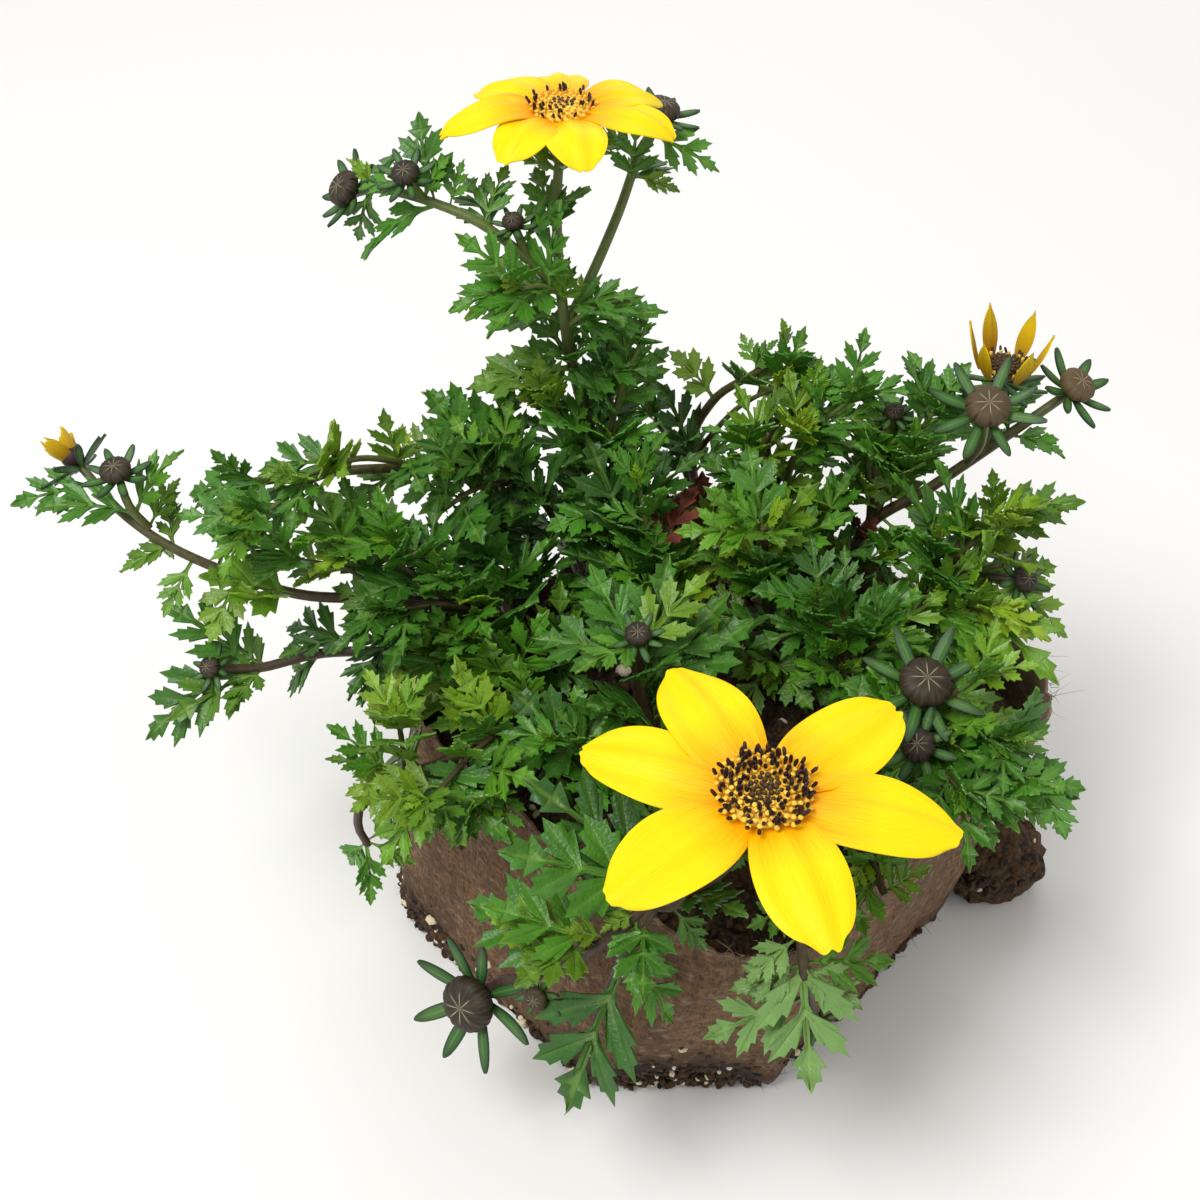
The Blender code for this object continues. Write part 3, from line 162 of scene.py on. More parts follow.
STEMS = {
    "stem_top_flower": Shoot(
        (*root(-12, 17), (-17, 28, 60), (-22, 33, 76), (-25, 35, 92), (-26, 39, 108), (-25, 43, 120)),
        (1.1, 0.62), pairs=((0.5, 17),),
        tips=((-41, 38, 95), (-40, 32, 82), (-14, 33, 98), (-10, 31, 86), (-38, 44, 90), (-13, 42, 92)),
        head="top_flower",
        side=(
            Shoot(
                (
                    (-25, 36, 96), (-30, 36, 102), (-37, 38, 107), (-45, 41, 109), (-52, 44, 109),
                    (-56, 46, 107),
                ),
                (0.8, 0.65), tips=((-56, 46, 99), (-39, 42, 115), (-31, 44, 112), (-37, 33, 99)),
                head="bud", head_radius=2.7,
                side=(
                    bud(((-45, 41, 109), (-47, 40, 113)), 2.0),
                    bud(((-30, 36, 102), (-32, 37, 107)), 1.6),
                ),
            ),
            Shoot(
                ((-25, 35, 91), (-21, 40, 97), (-17, 46, 104), (-14, 52, 110), (-11, 57, 113)),
                (0.75, 0.62), tips=((-2, 52, 107), (-21, 54, 113), (-8, 48, 106)), head="bud",
                head_radius=2.7,
            ),
        ),
    ),
    "stem_left_long": Shoot(
        (
            *root(-25, 6), (-35, 7, 58), (-49, 4, 65), (-63, 1, 69), (-77, 2, 75), (-86, 5, 80),
            (-92.5, 10, 85),
        ),
        (1.05, 0.65), pairs=((0.45, 16),),
        tips=((-103, 10, 84), (-79, 10, 83), (-75, -6, 66), (-83, 8, 71), (-70, 15, 78)),
        head="opening_bud", head_radius=2.6,
        side=(bud(((-83, 4, 79), (-85, 4, 83), (-86, 5.5, 87)), 2.2),),
    ),
    "stem_left_low": Shoot(
        (*root(-26, -3), (-36, 1, 55), (-48, 0, 58), (-60, -1, 59), (-69, -4, 59), (-75, -6, 61)),
        (1.0, 0.7), pairs=((0.5, 16),), tips=((-86, -10, 50), (-83, 2, 66), (-75, 4, 54), (-53, -6, 49)),
        head="bud", head_radius=1.6,
    ),
    "stem_left_high": Shoot(
        (*root(-20, 16), (-27, 29, 60), (-36, 28, 70), (-46, 22, 75), (-59, 15, 80), (-69, 9, 83)),
        (1.1, 0.7), pairs=((0.58, 16),),
        tips=((-49, 25, 81), (-62, 20, 82), (-79, 13, 77), (-57, 4, 72), (-75, 3, 83)), tuft=(2, 9),
    ),
    "stem_left_rim": Shoot(
        (*root(-19, -8), (-28, -7, 53), (-36, -15, 56), (-43, -20, 56), (-50, -19, 53)), (0.95, 0.7),
        tips=((-58, -16, 60), (-56, -20, 49), (-40, -10, 68), (-37, -26, 47), (-51, -27, 50)),
        tuft=(2, 9),
        side=(
            Shoot(
                ((-47, -19, 54), (-53, -19, 49), (-55, -19, 42), (-54, -19, 37)), (0.7, 0.6), tuft=(4, 9),
            ),
        ),
    ),
    "stem_front": Shoot(
        (*root(-9, -20), (-9, -31, 54), (-13, -41, 56), (-11, -45, 58), (-4, -44, 65), (0.5, -40, 72)),
        (1.2, 0.9), tips=((-33, -39, 61), (-6, -48, 52), (-30, -30, 65)), head="front_flower",
        side=(
            Shoot(
                ((-12, -43, 57), (-16, -46, 50), (-20, -48, 36)), (0.85, 0.7),
                tips=((-21, -50, 22), (-10, -50, 38)),
            ),
            Shoot(
                ((-12, -43, 57), (-20, -45, 49), (-28, -43, 39), (-34, -40, 33), (-37, -40, 29)),
                (0.85, 0.75), tips=((-35, -41, 51), (-38, -34, 43), (-25, -46, 54)), head="bud",
                head_radius=4.1, side=(bud(((-25, -44, 43), (-28, -46, 39)), 1.7, tuft=(2, 8)),),
            ),
        ),
    ),
    "stem_front_right": Shoot(
        (*root(2, -24), (4, -36, 54), (6, -47, 54), (7, -51, 47), (9, -51, 40)), (0.95, 0.65),
        tips=((-6, -53, 39), (-1, -52, 48), (19, -47, 48), (4, -52, 31)), head="bud", head_radius=1.5,
    ),
    "stem_right_front": Shoot(
        (*root(12, -17), (15, -30, 54), (18, -40, 53)), (0.9, 0.6), tips=((23, -41, 61), (10, -48, 49)),
    ),
    "stem_right": Shoot(
        (*root(20, -7), (25, -15, 55), (31, -21, 57), (36, -24, 57)), (1.0, 0.7),
        tips=((48, -22, 53), (43, -16, 60), (46, -26, 50), (37, -31, 52), (40, -12, 58), (27, -30, 51)),
        tuft=(2, 10),
        side=(bud(((24, -14, 54), (25, -13, 64)), 3.7), bud(((28, -18, 56), (24, -20.5, 60.5)), 2.4)),
    ),
    "stem_right_middle": Shoot(
        (*root(25, 6), (27, 10, 57), (34, 11, 63), (42, 8, 65)), (1.05, 0.7),
        tips=((50, 5, 56), (49, 12, 66), (40, 0, 55), (28, 1, 58), (47, -3, 52)), head="bud",
        head_radius=2.0,
        side=(
            Shoot(
                ((29, 11, 59), (34, 14, 67), (38, 14, 72)), (0.8, 0.6),
                tips=((51, 14, 75), (44, 10, 79), (23, 13, 68), (33, 5, 76)), tuft=(2, 9),
            ),
        ),
    ),
    "stem_right_long": Shoot(
        (*root(16, 15), (21, 24, 60), (30, 23, 70), (39, 23, 79), (46, 25, 84), (49, 26, 86)),
        (1.15, 0.7), tips=((29, 28, 87), (40, 30, 76), (17, 30, 74), (28, 17, 62)), head="bud",
        head_radius=2.8,
        side=(
            bud(((35, 23, 75), (35.5, 19, 82), (34.7, 16.8, 89.3)), 3.2),
            Shoot(
                ((37, 23, 77), (39, 26, 84), (39, 27, 87)), (0.9, 0.8), head="half_open", head_radius=2.6,
            ),
            Shoot(
                ((22, 24, 61), (23, 26, 70), (24, 28, 80)), (0.8, 0.7), pairs=((0.62, 9),), head="bud",
                head_radius=1.5,
            ),
        ),
    ),
    "stem_back_right": Shoot(
        (*root(-1, 22), (-5, 40, 62), (-2, 43, 71), (4, 41, 78), (8, 40, 82)), (1.0, 0.6),
        tips=((-9, 46, 79), (2, 45, 83), (14, 41, 80), (12, 38, 76)), tuft=(2, 7),
    ),
    "stem_back_middle": Shoot(
        (*root(7, 22), (7, 31, 62), (6, 31, 74), (12, 32, 80)), (1.0, 0.65), pairs=((0.74, 15),),
        tips=((19, 34, 84), (20, 32, 77), (-4, 35, 72)), tuft=(2, 9),
    ),
    "stem_centre": Shoot(
        (*root(-11, -9), (-14, -8, 59), (-14.5, -7, 68)), (1.0, 0.7),
        tips=(
            (-30, -3, 64), (-20, 0, 76), (-14, -2, 80), (-7, -4, 78), (-1, -5, 71), (-3, -12, 62),
            (-24, -13, 61),
        ),
        head="bud", head_radius=1.9,
    ),
    "stem_centre_right": Shoot(
        (*root(8, 6), (5, 14, 60), (4, 12, 72)), (1.0, 0.6), pairs=((0.68, 16),),
        tips=((-9, 12, 71), (-5, 13, 79), (12, 14, 79), (17, 14, 73)), tuft=(2, 9),
    ),
    "stem_inner_right": Shoot(
        (*root(16, -1), (17, 3, 58), (16, 5, 62)), (0.95, 0.6), pairs=((0.86, 15),),
        tips=((2, 1, 58), (20, -12, 57), (28, 1, 57)), tuft=(2, 10),
    ),
    "stem_inner_left": Shoot(
        (*root(-30, 4), (-35, 15, 56), (-38, 17, 63)), (0.95, 0.6), pairs=((0.75, 15),),
        tips=((-50, 17, 66), (-46, 8, 57), (-36, 4, 66), (-52, 10, 62)), tuft=(2, 10),
    ),
    "stem_back_left": Shoot(
        (*root(-27, 13), (-35, 27, 58), (-37, 35, 70)), (0.95, 0.6), pairs=((0.7, 14),),
        tips=((-47, 34, 80), (-47, 32, 72), (-33, 36, 80)),
    ),
    "stem_centre_back": Shoot(
        (*root(-8, 8), (-14, 18, 58), (-17, 23, 68)), (1.05, 0.6), pairs=((0.6, 17), (0.82, 16)),
        tips=((-28, 18, 66), (-4, 27, 74), (-22, 25, 79)), tuft=(2, 9),
    ),
    "stem_front_left": Shoot(
        (*root(-20, -16), (-21, -16, 55)), (0.9, 0.6),
        tips=((-35, -18, 56), (-30, -8, 62), (-23, -28, 54), (-12, -21, 59)), tuft=(3, 9),
    ),
}

# Each bloom's rays as (angle round it in degrees, length), 0 lying towards +X
FRONT_RAYS = ((-12, 24.8), (39, 24.0), (117, 24.0), (162, 24.2), (218, 24.8), (287, 23.0))
TOP_RAYS = ((-17, 16.5), (24, 15.5), (94, 14.0), (140, 16.5), (187, 17.5), (234, 14.0), (283, 14.5))
HALF_OPEN_RAYS = ((-12, 11.0), (48, 11.5), (112, 12.0), (165, 11.5), (218, 11.0), (290, 10.5))
# disc, foot and bract are how far the disc, the rays' feet and the bracts lie or reach from its axis,
# rise is the slope of a ray at its foot and bend how far it then curves down, in degrees
BLOOMS = {
    "front_flower": dict(rays=FRONT_RAYS, disc=5.9, foot=3.7, width=11.8, rise=8.0, bend=22.0, bract=7.5),
    "top_flower": dict(rays=TOP_RAYS, disc=4.6, foot=2.9, width=8.6, rise=26.0, bend=74.0, bract=5.5),
    "half_open": dict(rays=HALF_OPEN_RAYS, disc=3.0, foot=3.5, width=2.5, rise=66.0, bend=-10.0, bract=6.5),
}
FACING = {
    "front_flower": (0.02, -0.05, 1.0),
    "top_flower": (-0.02, 0.03, 1.0),
    "half_open": (0.02, 0.05, 1.0),
}

# A leaf's right half in shares of its length: petiole, first lobe, notch, second lobe, notch, shoulder
LEAF_EDGE = ((0.0, 0.035), (0.20, 0.04), (0.48, 0.28), (0.43, 0.09), (0.77, 0.26), (0.70, 0.11))
LEAF_RIB = (0.20, 0.43, 0.70)
YOUNG_EDGE = ((0.0, 0.055), (0.26, 0.06), (0.64, 0.25), (0.60, 0.12))
YOUNG_RIB = (0.26, 0.60)
# What to try, in turn, where a leaf would cross something: turn and tilt in degrees, share of its length
TRIES = ((0, 0, 1.0), (14, 0, 1.0), (-14, 0, 1.0), (0, 16, 1.0), (0, -16, 1.0))
TRIES += ((28, 8, 0.94), (-28, 8, 0.94), (16, 24, 0.9), (-16, 24, 0.9), (16, -24, 0.9), (-16, -24, 0.9))
TRIES += ((0, 34, 0.85), (0, -34, 0.8), (44, 0, 0.8), (-44, 0, 0.8))
TRIES += ((24, 12, 0.68), (-24, 12, 0.68), (0, 20, 0.6), (0, -20, 0.6))


def unit(vector):
    vector = np.asarray(vector, float)
    return vector / norm(vector)


def turned(vector, axis, degrees):
    """The vector turned about the unit axis."""
    angle = math.radians(degrees)
    kept = axis * np.dot(axis, vector) * (1 - math.cos(angle))
    return vector * math.cos(angle) + np.cross(axis, vector) * math.sin(angle) + kept


def sunk_base(point, along, width, way):
    """Where a leaf starts: on the side of the stem that it grows to, sunk in."""
    out = way - np.dot(way, along) * along
    return point + out / max(norm(out), 0.3) * (width - SUNK)


def smooth_path(points, step=STEP_ALONG_STEM):
    """Points about one step apart on the Catmull-Rom curve through the given ones."""
    knots = np.array(points, float)
    knots = np.vstack([2 * knots[0] - knots[1], knots, 2 * knots[-1] - knots[-2]])
    found = []
    for before, start, end, after in zip(knots, knots[1:], knots[2:], knots[3:]):
        count = max(1, round(norm(end - start) / step))
        for t in np.arange(count) / count:
            square = (2 * before - 5 * start + 4 * end - after) * t**2
            cube = (3 * (start - end) + after - before) * t**3
            found.append(start + 0.5 * ((end - before) * t + square + cube))
    return np.array(found + [knots[-2]])


def lengths_along(path):
    """The length of a path from its start to each of its points."""
    return np.concatenate([[0.0], np.cumsum(norm(np.diff(path, axis=0), axis=1))])


def spot_on(path, reach, place):
    """The point and direction of a path at a length along it, where reach holds its points' lengths."""
    point = np.array([np.interp(place, reach, path[:, axis]) for axis in range(3)])
    index = min(max(int(np.searchsorted(reach, place)), 1), len(path) - 1)
    return point, unit(path[index] - path[index - 1])


class Blade:
    """A leaf, petal or bract: a sheet that bends along its length and folds along its rib."""

    def __init__(self, base, chord, up, length, bend, fold=0.0, curl=0.0):
        self.base, self.length = np.asarray(base, float), length
        self.bend = math.radians(bend) or 1e-6
        self.fold, self.curl = fold, curl
        chord = unit(chord)
        normal = unit(up - np.dot(up, chord) * chord)
        self.side = np.cross(chord, normal)
        half = self.bend / 2
        self.start = chord * math.cos(half) + normal * math.sin(half)
        self.normal = normal * math.cos(half) - chord * math.sin(half)
        self.arc = length * half / math.sin(half)

    def at(self, s, t, height=0.0):
        """Points at the shares s along and t across, raised by the height from the sheet."""
        s, t = np.asarray(s, float)[..., None], np.asarray(t, float)[..., None]
        angle = self.bend * s
        rib = (self.start * np.sin(angle) - self.normal * (1 - np.cos(angle))) * (self.arc / self.bend)
        out = self.normal * np.cos(angle) + self.start * np.sin(angle)
        lift = self.length * (self.fold * np.abs(t) - self.curl * t * t)
        lift = lift + np.asarray(height, float)[..., None]
        return self.base + rib + self.side * (t * self.length) + out * lift


def leaf_plan(edge, rib):
    """(s, t) of a leaf's points and its triangles, which fan out from the points of its rib."""
    points = [*edge, (1.0, 0.0), *[(s, -t) for s, t in reversed(edge)], *[(s, 0.0) for s in rib]]
    tip = len(edge)
    ribs = [2 * tip + 1 + i for i in range(len(rib))]
    triangles = [(0, ribs[0], 2 * tip)]
    for mirror in (False, True):
        def at(i):
            return 2 * tip - i if mirror else i
        fan = [(ribs[0], at(0), at(1))]
        for i, centre in enumerate(ribs):
            last = 2 * i + 3 if i + 1 < len(ribs) else tip
            fan += [(centre, at(k), at(k + 1)) for k in range(2 * i + 1, last)]
            if i + 1 < len(ribs):
                fan.append((centre, at(last), ribs[i + 1]))
        triangles += [(a, c, b) for a, b, c in fan] if mirror else fan
    return np.array(points), np.array(triangles)


PLANS = {"leaf": leaf_plan(LEAF_EDGE, LEAF_RIB), "young": leaf_plan(YOUNG_EDGE, YOUNG_RIB)}


def sheet_tree(blade, plan, grow, height):
    """Search trees of the blade and of what lies beyond its stalk, thickened by the height."""
    points, triangles = PLANS[plan]
    s, t = points[:, 0], points[:, 1] * grow
    trees = []
    for beyond in (0.0, 0.25):
        faces = triangles[(s[triangles] >= beyond).all(axis=1)]
        levels = (height, 0.0, -height) if height else (0.0,)
        corners = [Vector(p) for h in levels for p in blade.at(s, t, h)]
        layers = [tuple(int(v) + i * len(s) for v in face) for i in range(len(levels)) for face in faces]
        trees.append(BVHTree.FromPolygons(corners, layers, all_triangles=True))
    return trees


class Layout:
    """Where every leaf, bud and bloom of the plant goes, so that no two pieces cross."""

    def __init__(self):
        self.tubes, self.balls, self.sheets = [], [], []
        self.shoots, self.leaves, self.heads, self.wanted = [], [], [], []
        self.sheet_room, self.stem_room = BLADE + GAP, BLADE / 2 + GAP + 0.2
        for owner, shoot in STEMS.items():
            self.add_shoot(owner, shoot)
        for owner, shoot, path in self.shoots:
            self.want_leaves(owner, shoot, path)
        for want in sorted(self.wanted, key=lambda one: one[0]):
            self.place(*want[1:])

    def add_shoot(self, owner, shoot):
        path = smooth_path(shoot.path)
        widths = np.linspace(shoot.radii[0], shoot.radii[1], len(path))
        self.tubes.append((owner, path, widths))
        self.shoots.append((owner, shoot, path))
        if shoot.head:
            self.add_head(owner, shoot, path)
        for branch in shoot.side:
            self.add_shoot(owner, branch)

    def add_head(self, owner, shoot, path):
        axis = unit(path[-1] - path[-2])
        if shoot.head in FACING:
            axis = unit(FACING[shoot.head])
        elif shoot.head == "bud":
            axis = unit(0.6 * axis + (0.0, -0.45, 0.75))
        head = Head(owner, shoot.head, path[-1], axis, shoot.head_radius)
        self.heads.append(head)
        for blade, plan in head_blades(head):
            self.sheets.append((owner, blade, sheet_tree(blade, plan, 1.0, 0.0)))
        radius = BLOOMS[shoot.head]["disc"] if shoot.head in BLOOMS else shoot.head_radius
        self.balls.append((path[-1] + axis * (radius * 0.6 + 1.0), radius + 1.2))

    def want_leaves(self, owner, shoot, path):
        draw = random.Random(f"{owner} {shoot.path[-1]}")
        reach = lengths_along(path)

        def spot(place):
            """The point and direction of the shoot at a length along it, and its radius there."""
            return *spot_on(path, reach, place), np.interp(place, (0.0, reach[-1]), shoot.radii)

        taken = [share * reach[-1] for share, _ in shoot.pairs]
        places = np.arange(0.0, reach[-1] - (2.5 if shoot.head else 0.5), 0.5)
        points = np.array([spot(place)[0] for place in places])
        for tip in shoot.tips:
            tip = np.array(tip, float)
            cost = norm(points - tip, axis=1)
            cost += np.where(points[:, 2] < LEAVES_FROM, 50.0, 0.0)
            for other in taken:
                cost += np.where(np.abs(places - other) < LEAF_SPACING, 30.0, 0.0)
            place = float(places[int(np.argmin(cost))])
            taken.append(place)
            base, along, width = spot(place)
            base = sunk_base(base, along, width, tip - base)
            length = norm(tip - base)
            up = unit((draw.uniform(-0.2, 0.2), -0.35 + draw.uniform(-0.2, 0.2), 1.0))
            kind = "leaf" if length > 9 else "young"
            self.wanted.append((0, owner, base, unit(tip - base), up, length, draw.uniform(15, 45), kind))
        turn = draw.uniform(0, 180)
        for share, length in shoot.pairs:
            self.want_ring(1, owner, draw, spot(share * reach[-1]), turn, 2, length, 62, "leaf")
            turn += 90 + draw.uniform(-15, 15)
        if shoot.tuft:
            count, length = shoot.tuft
            self.want_ring(2, owner, draw, spot(reach[-1] - 0.8), turn, count, length, 38, "young")

    def want_ring(self, rank, owner, draw, seat, turn, count, length, spread, kind):
        """Leaves all round a stem, spread by an angle from it and lifted to the light."""
        point, along, width = seat
        side = unit(np.cross(along, (0.31, 0.95, 0.05)))
        for i in range(count):
            out = turned(side, along, turn + 360.0 * i / count + draw.uniform(-9, 9))
            lean = math.radians(spread + draw.uniform(-10, 10))
            chord = unit(out * math.sin(lean) + along * math.cos(lean) + (0.0, 0.0, 0.22))
            up = unit(along * 0.5 + (draw.uniform(-0.15, 0.15), -0.2 + draw.uniform(-0.15, 0.15), 0.9))
            size = length * draw.uniform(0.9, 1.1)
            base = sunk_base(point, along, width, out)
            self.wanted.append((rank, owner, base, chord, up, size, draw.uniform(15, 50), kind))

    def place(self, owner, base, chord, up, length, bend, kind):
        up = up if abs(np.dot(up, chord)) < 0.93 else unit(up + (0.0, -1.0, 0.0))
        side = unit(np.cross(chord, up))
        for turn, tilt, share in TRIES:
            aim = turned(turned(chord, side, tilt), up, turn)
            blade = Blade(base, aim, up, length * share, bend, fold=0.22, curl=0.25)
            if self.is_free(owner, blade, kind):
                self.leaves.append((owner, blade, kind))
                self.sheets.append((owner, blade, sheet_tree(blade, kind, 1.0, 0.0)))
                return

    def is_free(self, owner, blade, kind):
        points, _ = PLANS[kind]
        s, t = points[:, 0], points[:, 1]
        s, t = np.concatenate([s, s, [0.33, 0.6, 0.85]]), np.concatenate([t, t * 0.5, np.zeros(3)])
        spots = blade.at(s, t)
        if not all(clear_of_pot(spot) for spot, share in zip(spots, s) if share > 0.15):
            return False
        for centre, radius in self.balls:
            if (norm(spots - centre, axis=1) < radius).any():
                return False
        for other, path, widths in self.tubes:
            chosen = spots[s > 0.3] if other == owner else spots
            if norm(path - blade.base, axis=1).min() > 2.2 * blade.length + STEP_ALONG_STEM:
                continue
            if too_near(chosen, path, widths + self.stem_room):
                return False
        whole, beyond = sheet_tree(blade, kind, 1.06, self.sheet_room)
        for other, sheet, trees in self.sheets:
            if norm(sheet.base - blade.base) > sheet.length + blade.length + 2:
                continue
            if beyond.overlap(trees[1]) if other == owner else whole.overlap(trees[0]):
                return False
        return True


def too_near(spots, path, reach):
    """Whether a spot lies within reach of the path's segments."""
    starts, ends = path[:-1], path[1:]
    along = ends - starts
    relative = spots[:, None, :] - starts[None]
    share = held((relative * along).sum(-1) / (along * along).sum(-1))
    gaps = norm(relative - share[..., None] * along, axis=-1)
    return bool((gaps < reach[:-1]).any())


def around(axis):
    """Two unit vectors square to the axis, the first nearest to +X."""
    across = unit(np.array((1.0, 0.0, 0.0)) - axis[0] * axis)
    return across, np.cross(axis, across)


def outward(axis, angle):
    """The way out from an axis, at an angle round it."""
    across, back = around(axis)
    return across * math.cos(angle) + back * math.sin(angle)


def bract_reach(kind, radius):
    """How far a head's bracts reach from its axis: they are longest round the biggest buds."""
    return BLOOMS[kind]["bract"] if kind in BLOOMS else radius * (2.45 if radius > 3.0 else 2.2)


def head_blades(head):
    """The outer bracts and rays of a head, as blades with a leaf's plan, to keep leaves off them."""
    _, kind, centre, axis, radius = head
    found = []
    reach = bract_reach(kind, radius)
    for i in range(BRACTS):
        out = outward(axis, TURN * (i + 0.5) / BRACTS)
        found.append((Blade(centre, unit(out + 0.25 * axis), axis, reach + 0.4, 8), "young"))
    for angle, length in BLOOMS[kind]["rays"] if kind in BLOOMS else ():
        found.append((ray_blade(head, angle, length), "leaf"))
    return found


def ray_blade(head, angle, length):
    _, kind, centre, axis, _ = head
    bloom = BLOOMS[kind]
    rise = math.radians(bloom["rise"])
    out = outward(axis, math.radians(angle))
    slope = rise - math.radians(bloom["bend"] / 2)
    chord = out * math.cos(slope) + axis * math.sin(slope)
    up = axis * math.cos(rise) - out * math.sin(rise)
    base = centre + axis * RAY_HEIGHT + out * bloom["foot"]
    return Blade(base, chord, up, length - bloom["foot"], bloom["bend"], curl=0.5)


# Twigs and leaves that only the fine model has

CAMERA_AT = np.array((-19.8, -178.64, 241.28))
CAMERA_PITCH, CAMERA_VIEW = 44.0, 38.0  # in degrees
PHOTO_HALF = 600.0  # half of the photo's side, in pixels
# Where the photo shows the leafy ends of twigs, and the tips and lengths of single leaves, in its pixels
TWIG_ENDS = (
    (295, 480), (345, 545), (398, 545), (300, 560), (255, 520), (430, 520), (440, 585), (395, 610),
    (345, 640), (455, 470), (500, 400), (520, 290), (630, 300), (640, 345), (610, 385), (655, 420),
    (545, 400), (500, 460), (580, 470), (640, 490), (530, 530), (590, 540), (500, 570), (555, 600),
    (480, 640), (540, 660), (600, 610), (655, 570), (710, 540), (780, 385), (850, 400), (800, 440),
    (745, 450), (870, 455), (935, 410), (905, 470), (760, 500), (820, 530), (880, 560), (940, 540),
    (1010, 520), (1030, 560), (760, 590), (820, 610), (880, 640), (940, 640), (985, 610), (975, 680),
    (720, 640), (770, 660), (450, 700), (400, 730), (430, 800), (500, 790), (560, 740), (460, 850),
    (1000, 740), (1040, 790), (960, 790),
)
LEAF_ENDS = (
    (166, 722, 13), (163, 618, 8), (190, 590, 10), (703, 182, 11), (360, 250, 8), (470, 352, 13),
    (668, 312, 13), (668, 372, 13), (690, 335, 12), (876, 368, 9), (906, 364, 9), (1070, 505, 13),
    (1060, 640, 12), (1035, 735, 11), (340, 724, 12), (352, 800, 12), (420, 830, 11), (512, 850, 15),
    (480, 905, 11), (15, 468, 8), (180, 478, 9), (1075, 580, 7), (330, 430, 10), (410, 408, 10),
    (270, 455, 9), (800, 350, 8), (735, 342, 9), (560, 165, 9), (450, 155, 9), (745, 985, 9),
    (850, 1045, 8), (700, 1035, 12), (545, 1060, 9),
)
LEAF_LEAST = 9.5  # length of the least leaf of full form that only the fine model has
TWIG_MOST = 34  # length of the longest twig
# Radius of the round plate that keeps leaves off an open flower's petals, and its low and high side
PETAL_PLATE = {"front_flower": 19.0, "top_flower": 12.0}
PLATE_LOW, PLATE_HIGH = -2.5, 9.0
# Where the photo shows no leaf, and what has a look of its own: middle and radius in its pixels
GAPS = (
    (345, 390, 42), (275, 435, 32), (215, 465, 32), (420, 390, 22), (470, 365, 18), (612, 250, 34),
    (655, 275, 26), (690, 300, 22), (702, 150, 22), (640, 200, 16), (702, 385, 34), (745, 400, 20),
    (775, 330, 24), (1010, 470, 32), (940, 485, 16), (1055, 480, 24), (1045, 535, 22), (320, 742, 38),
    (300, 618, 22), (150, 735, 20), (450, 882, 34), (440, 735, 16), (670, 990, 30), (815, 1075, 30),
    (1085, 775, 30), (1060, 735, 22), (537, 448, 20), (444, 459, 11), (462, 500, 14), (316, 523, 16),
    (255, 543, 12), (500, 690, 14), (545, 690, 18), (860, 520, 8), (1075, 640, 18), (370, 890, 20),
    (584, 196, 24), (668, 218, 26), (702, 250, 40), (470, 226, 16), (468, 264, 15), (905, 500, 15),
    (962, 464, 18), (988, 440, 20), (1022, 428, 16), (836, 565, 10), (598, 905, 12),
)
WITHERED_SPOTS = ((692, 500, 20), (862, 532, 18))
DOWNY_SPOTS = ((795, 1000, 62),)
HAIRY_SPOTS = ((795, 1000, 62), (876, 680, 24))
TAN_BUDS = ((994, 394, 34), (1086, 385, 34), (612, 352, 30))
# Rings of more leaves for each stem: spacing along it, length of a leaf low on it and at its end
BUSHY = {
    "stem_top_flower": (10, 16, 10),
    "stem_left_long": (16, 14, 10),
    "stem_left_low": (9, 14, 11),
    "stem_left_high": (8, 14, 10),
    "stem_right_long": (10, 14, 9.6),
    "stem_front": (9, 13, 9.6),
    "stem_front_right": (9, 12, 9.6),
    "stem_back_right": (9, 15, 11),
    "stem_back_middle": (9, 15, 11),
}
BUSHY_ELSEWHERE = (7, 18, 13)
BUSHY_TWIG = (6, 16, 11)
# Where leaves get a younger, brighter green, for young leaves and painted light, and an older, darker green,
# as painted shade: middle, radius and how much
YOUNG_AND_LIT_SPOTS = (
    (690, 602, 45, 0.5), (722, 532, 34, 0.45), (792, 510, 30, 0.4), (1020, 515, 48, 0.5),
    (1025, 628, 40, 0.55), (940, 598, 22, 0.35), (772, 445, 40, 0.45), (995, 700, 28, 0.4),
    (232, 585, 38, 0.35), (190, 668, 45, 0.5), (335, 563, 45, 0.45), (330, 455, 48, 0.4),
    (398, 425, 22, 0.3), (520, 385, 36, 0.3), (472, 580, 24, 0.3), (540, 630, 34, 0.3),
    (455, 690, 36, 0.4), (392, 685, 20, 0.5), (515, 915, 34, 0.4), (590, 922, 24, 0.4),
    (548, 970, 22, 0.4), (880, 885, 32, 0.35), (850, 938, 28, 0.35), (380, 745, 46, 0.3),
    (352, 805, 38, 0.35), (700, 345, 28, 0.4), (790, 375, 30, 0.3), (500, 290, 26, 0.2),
    (905, 470, 26, 0.25),
)
PAINTED_SHADE_SPOTS = (
    (758, 595, 30, 0.2), (890, 580, 40, 0.12), (496, 497, 36, 0.25), (338, 652, 42, 0.15),
    (600, 350, 44, 0.25), (545, 445, 50, 0.2), (590, 560, 48, 0.15), (610, 1020, 45, 0.1),
    (480, 560, 26, 0.2), (700, 440, 30, 0.15),
)


def sight():
    """The camera's forward, right and up directions, the last two as long as half its view one unit away."""
    pitch, half = math.radians(CAMERA_PITCH), math.tan(math.radians(CAMERA_VIEW / 2))
    forward = np.array((0.0, math.cos(pitch), -math.sin(pitch)))
    return forward, np.array((half, 0.0, 0.0)), np.array((0.0, math.sin(pitch), math.cos(pitch))) * half


def seen_at(pixel, depths):
    """The points at depths along the camera's ray through a pixel of the photo."""
    forward, right, up = sight()
    x, y = [(place - PHOTO_HALF) / PHOTO_HALF for place in pixel]
    way = forward + right * x - up * y
    return CAMERA_AT + way * np.asarray(depths)[..., None]


def pixel_of(point):
    """The pixel of the photo that shows a point."""
    forward, right, up = sight()
    away = (point - CAMERA_AT) / ((point - CAMERA_AT) @ forward)
    return PHOTO_HALF * np.array((1.0 + away @ right / (right @ right), 1.0 - away @ up / (up @ up)))


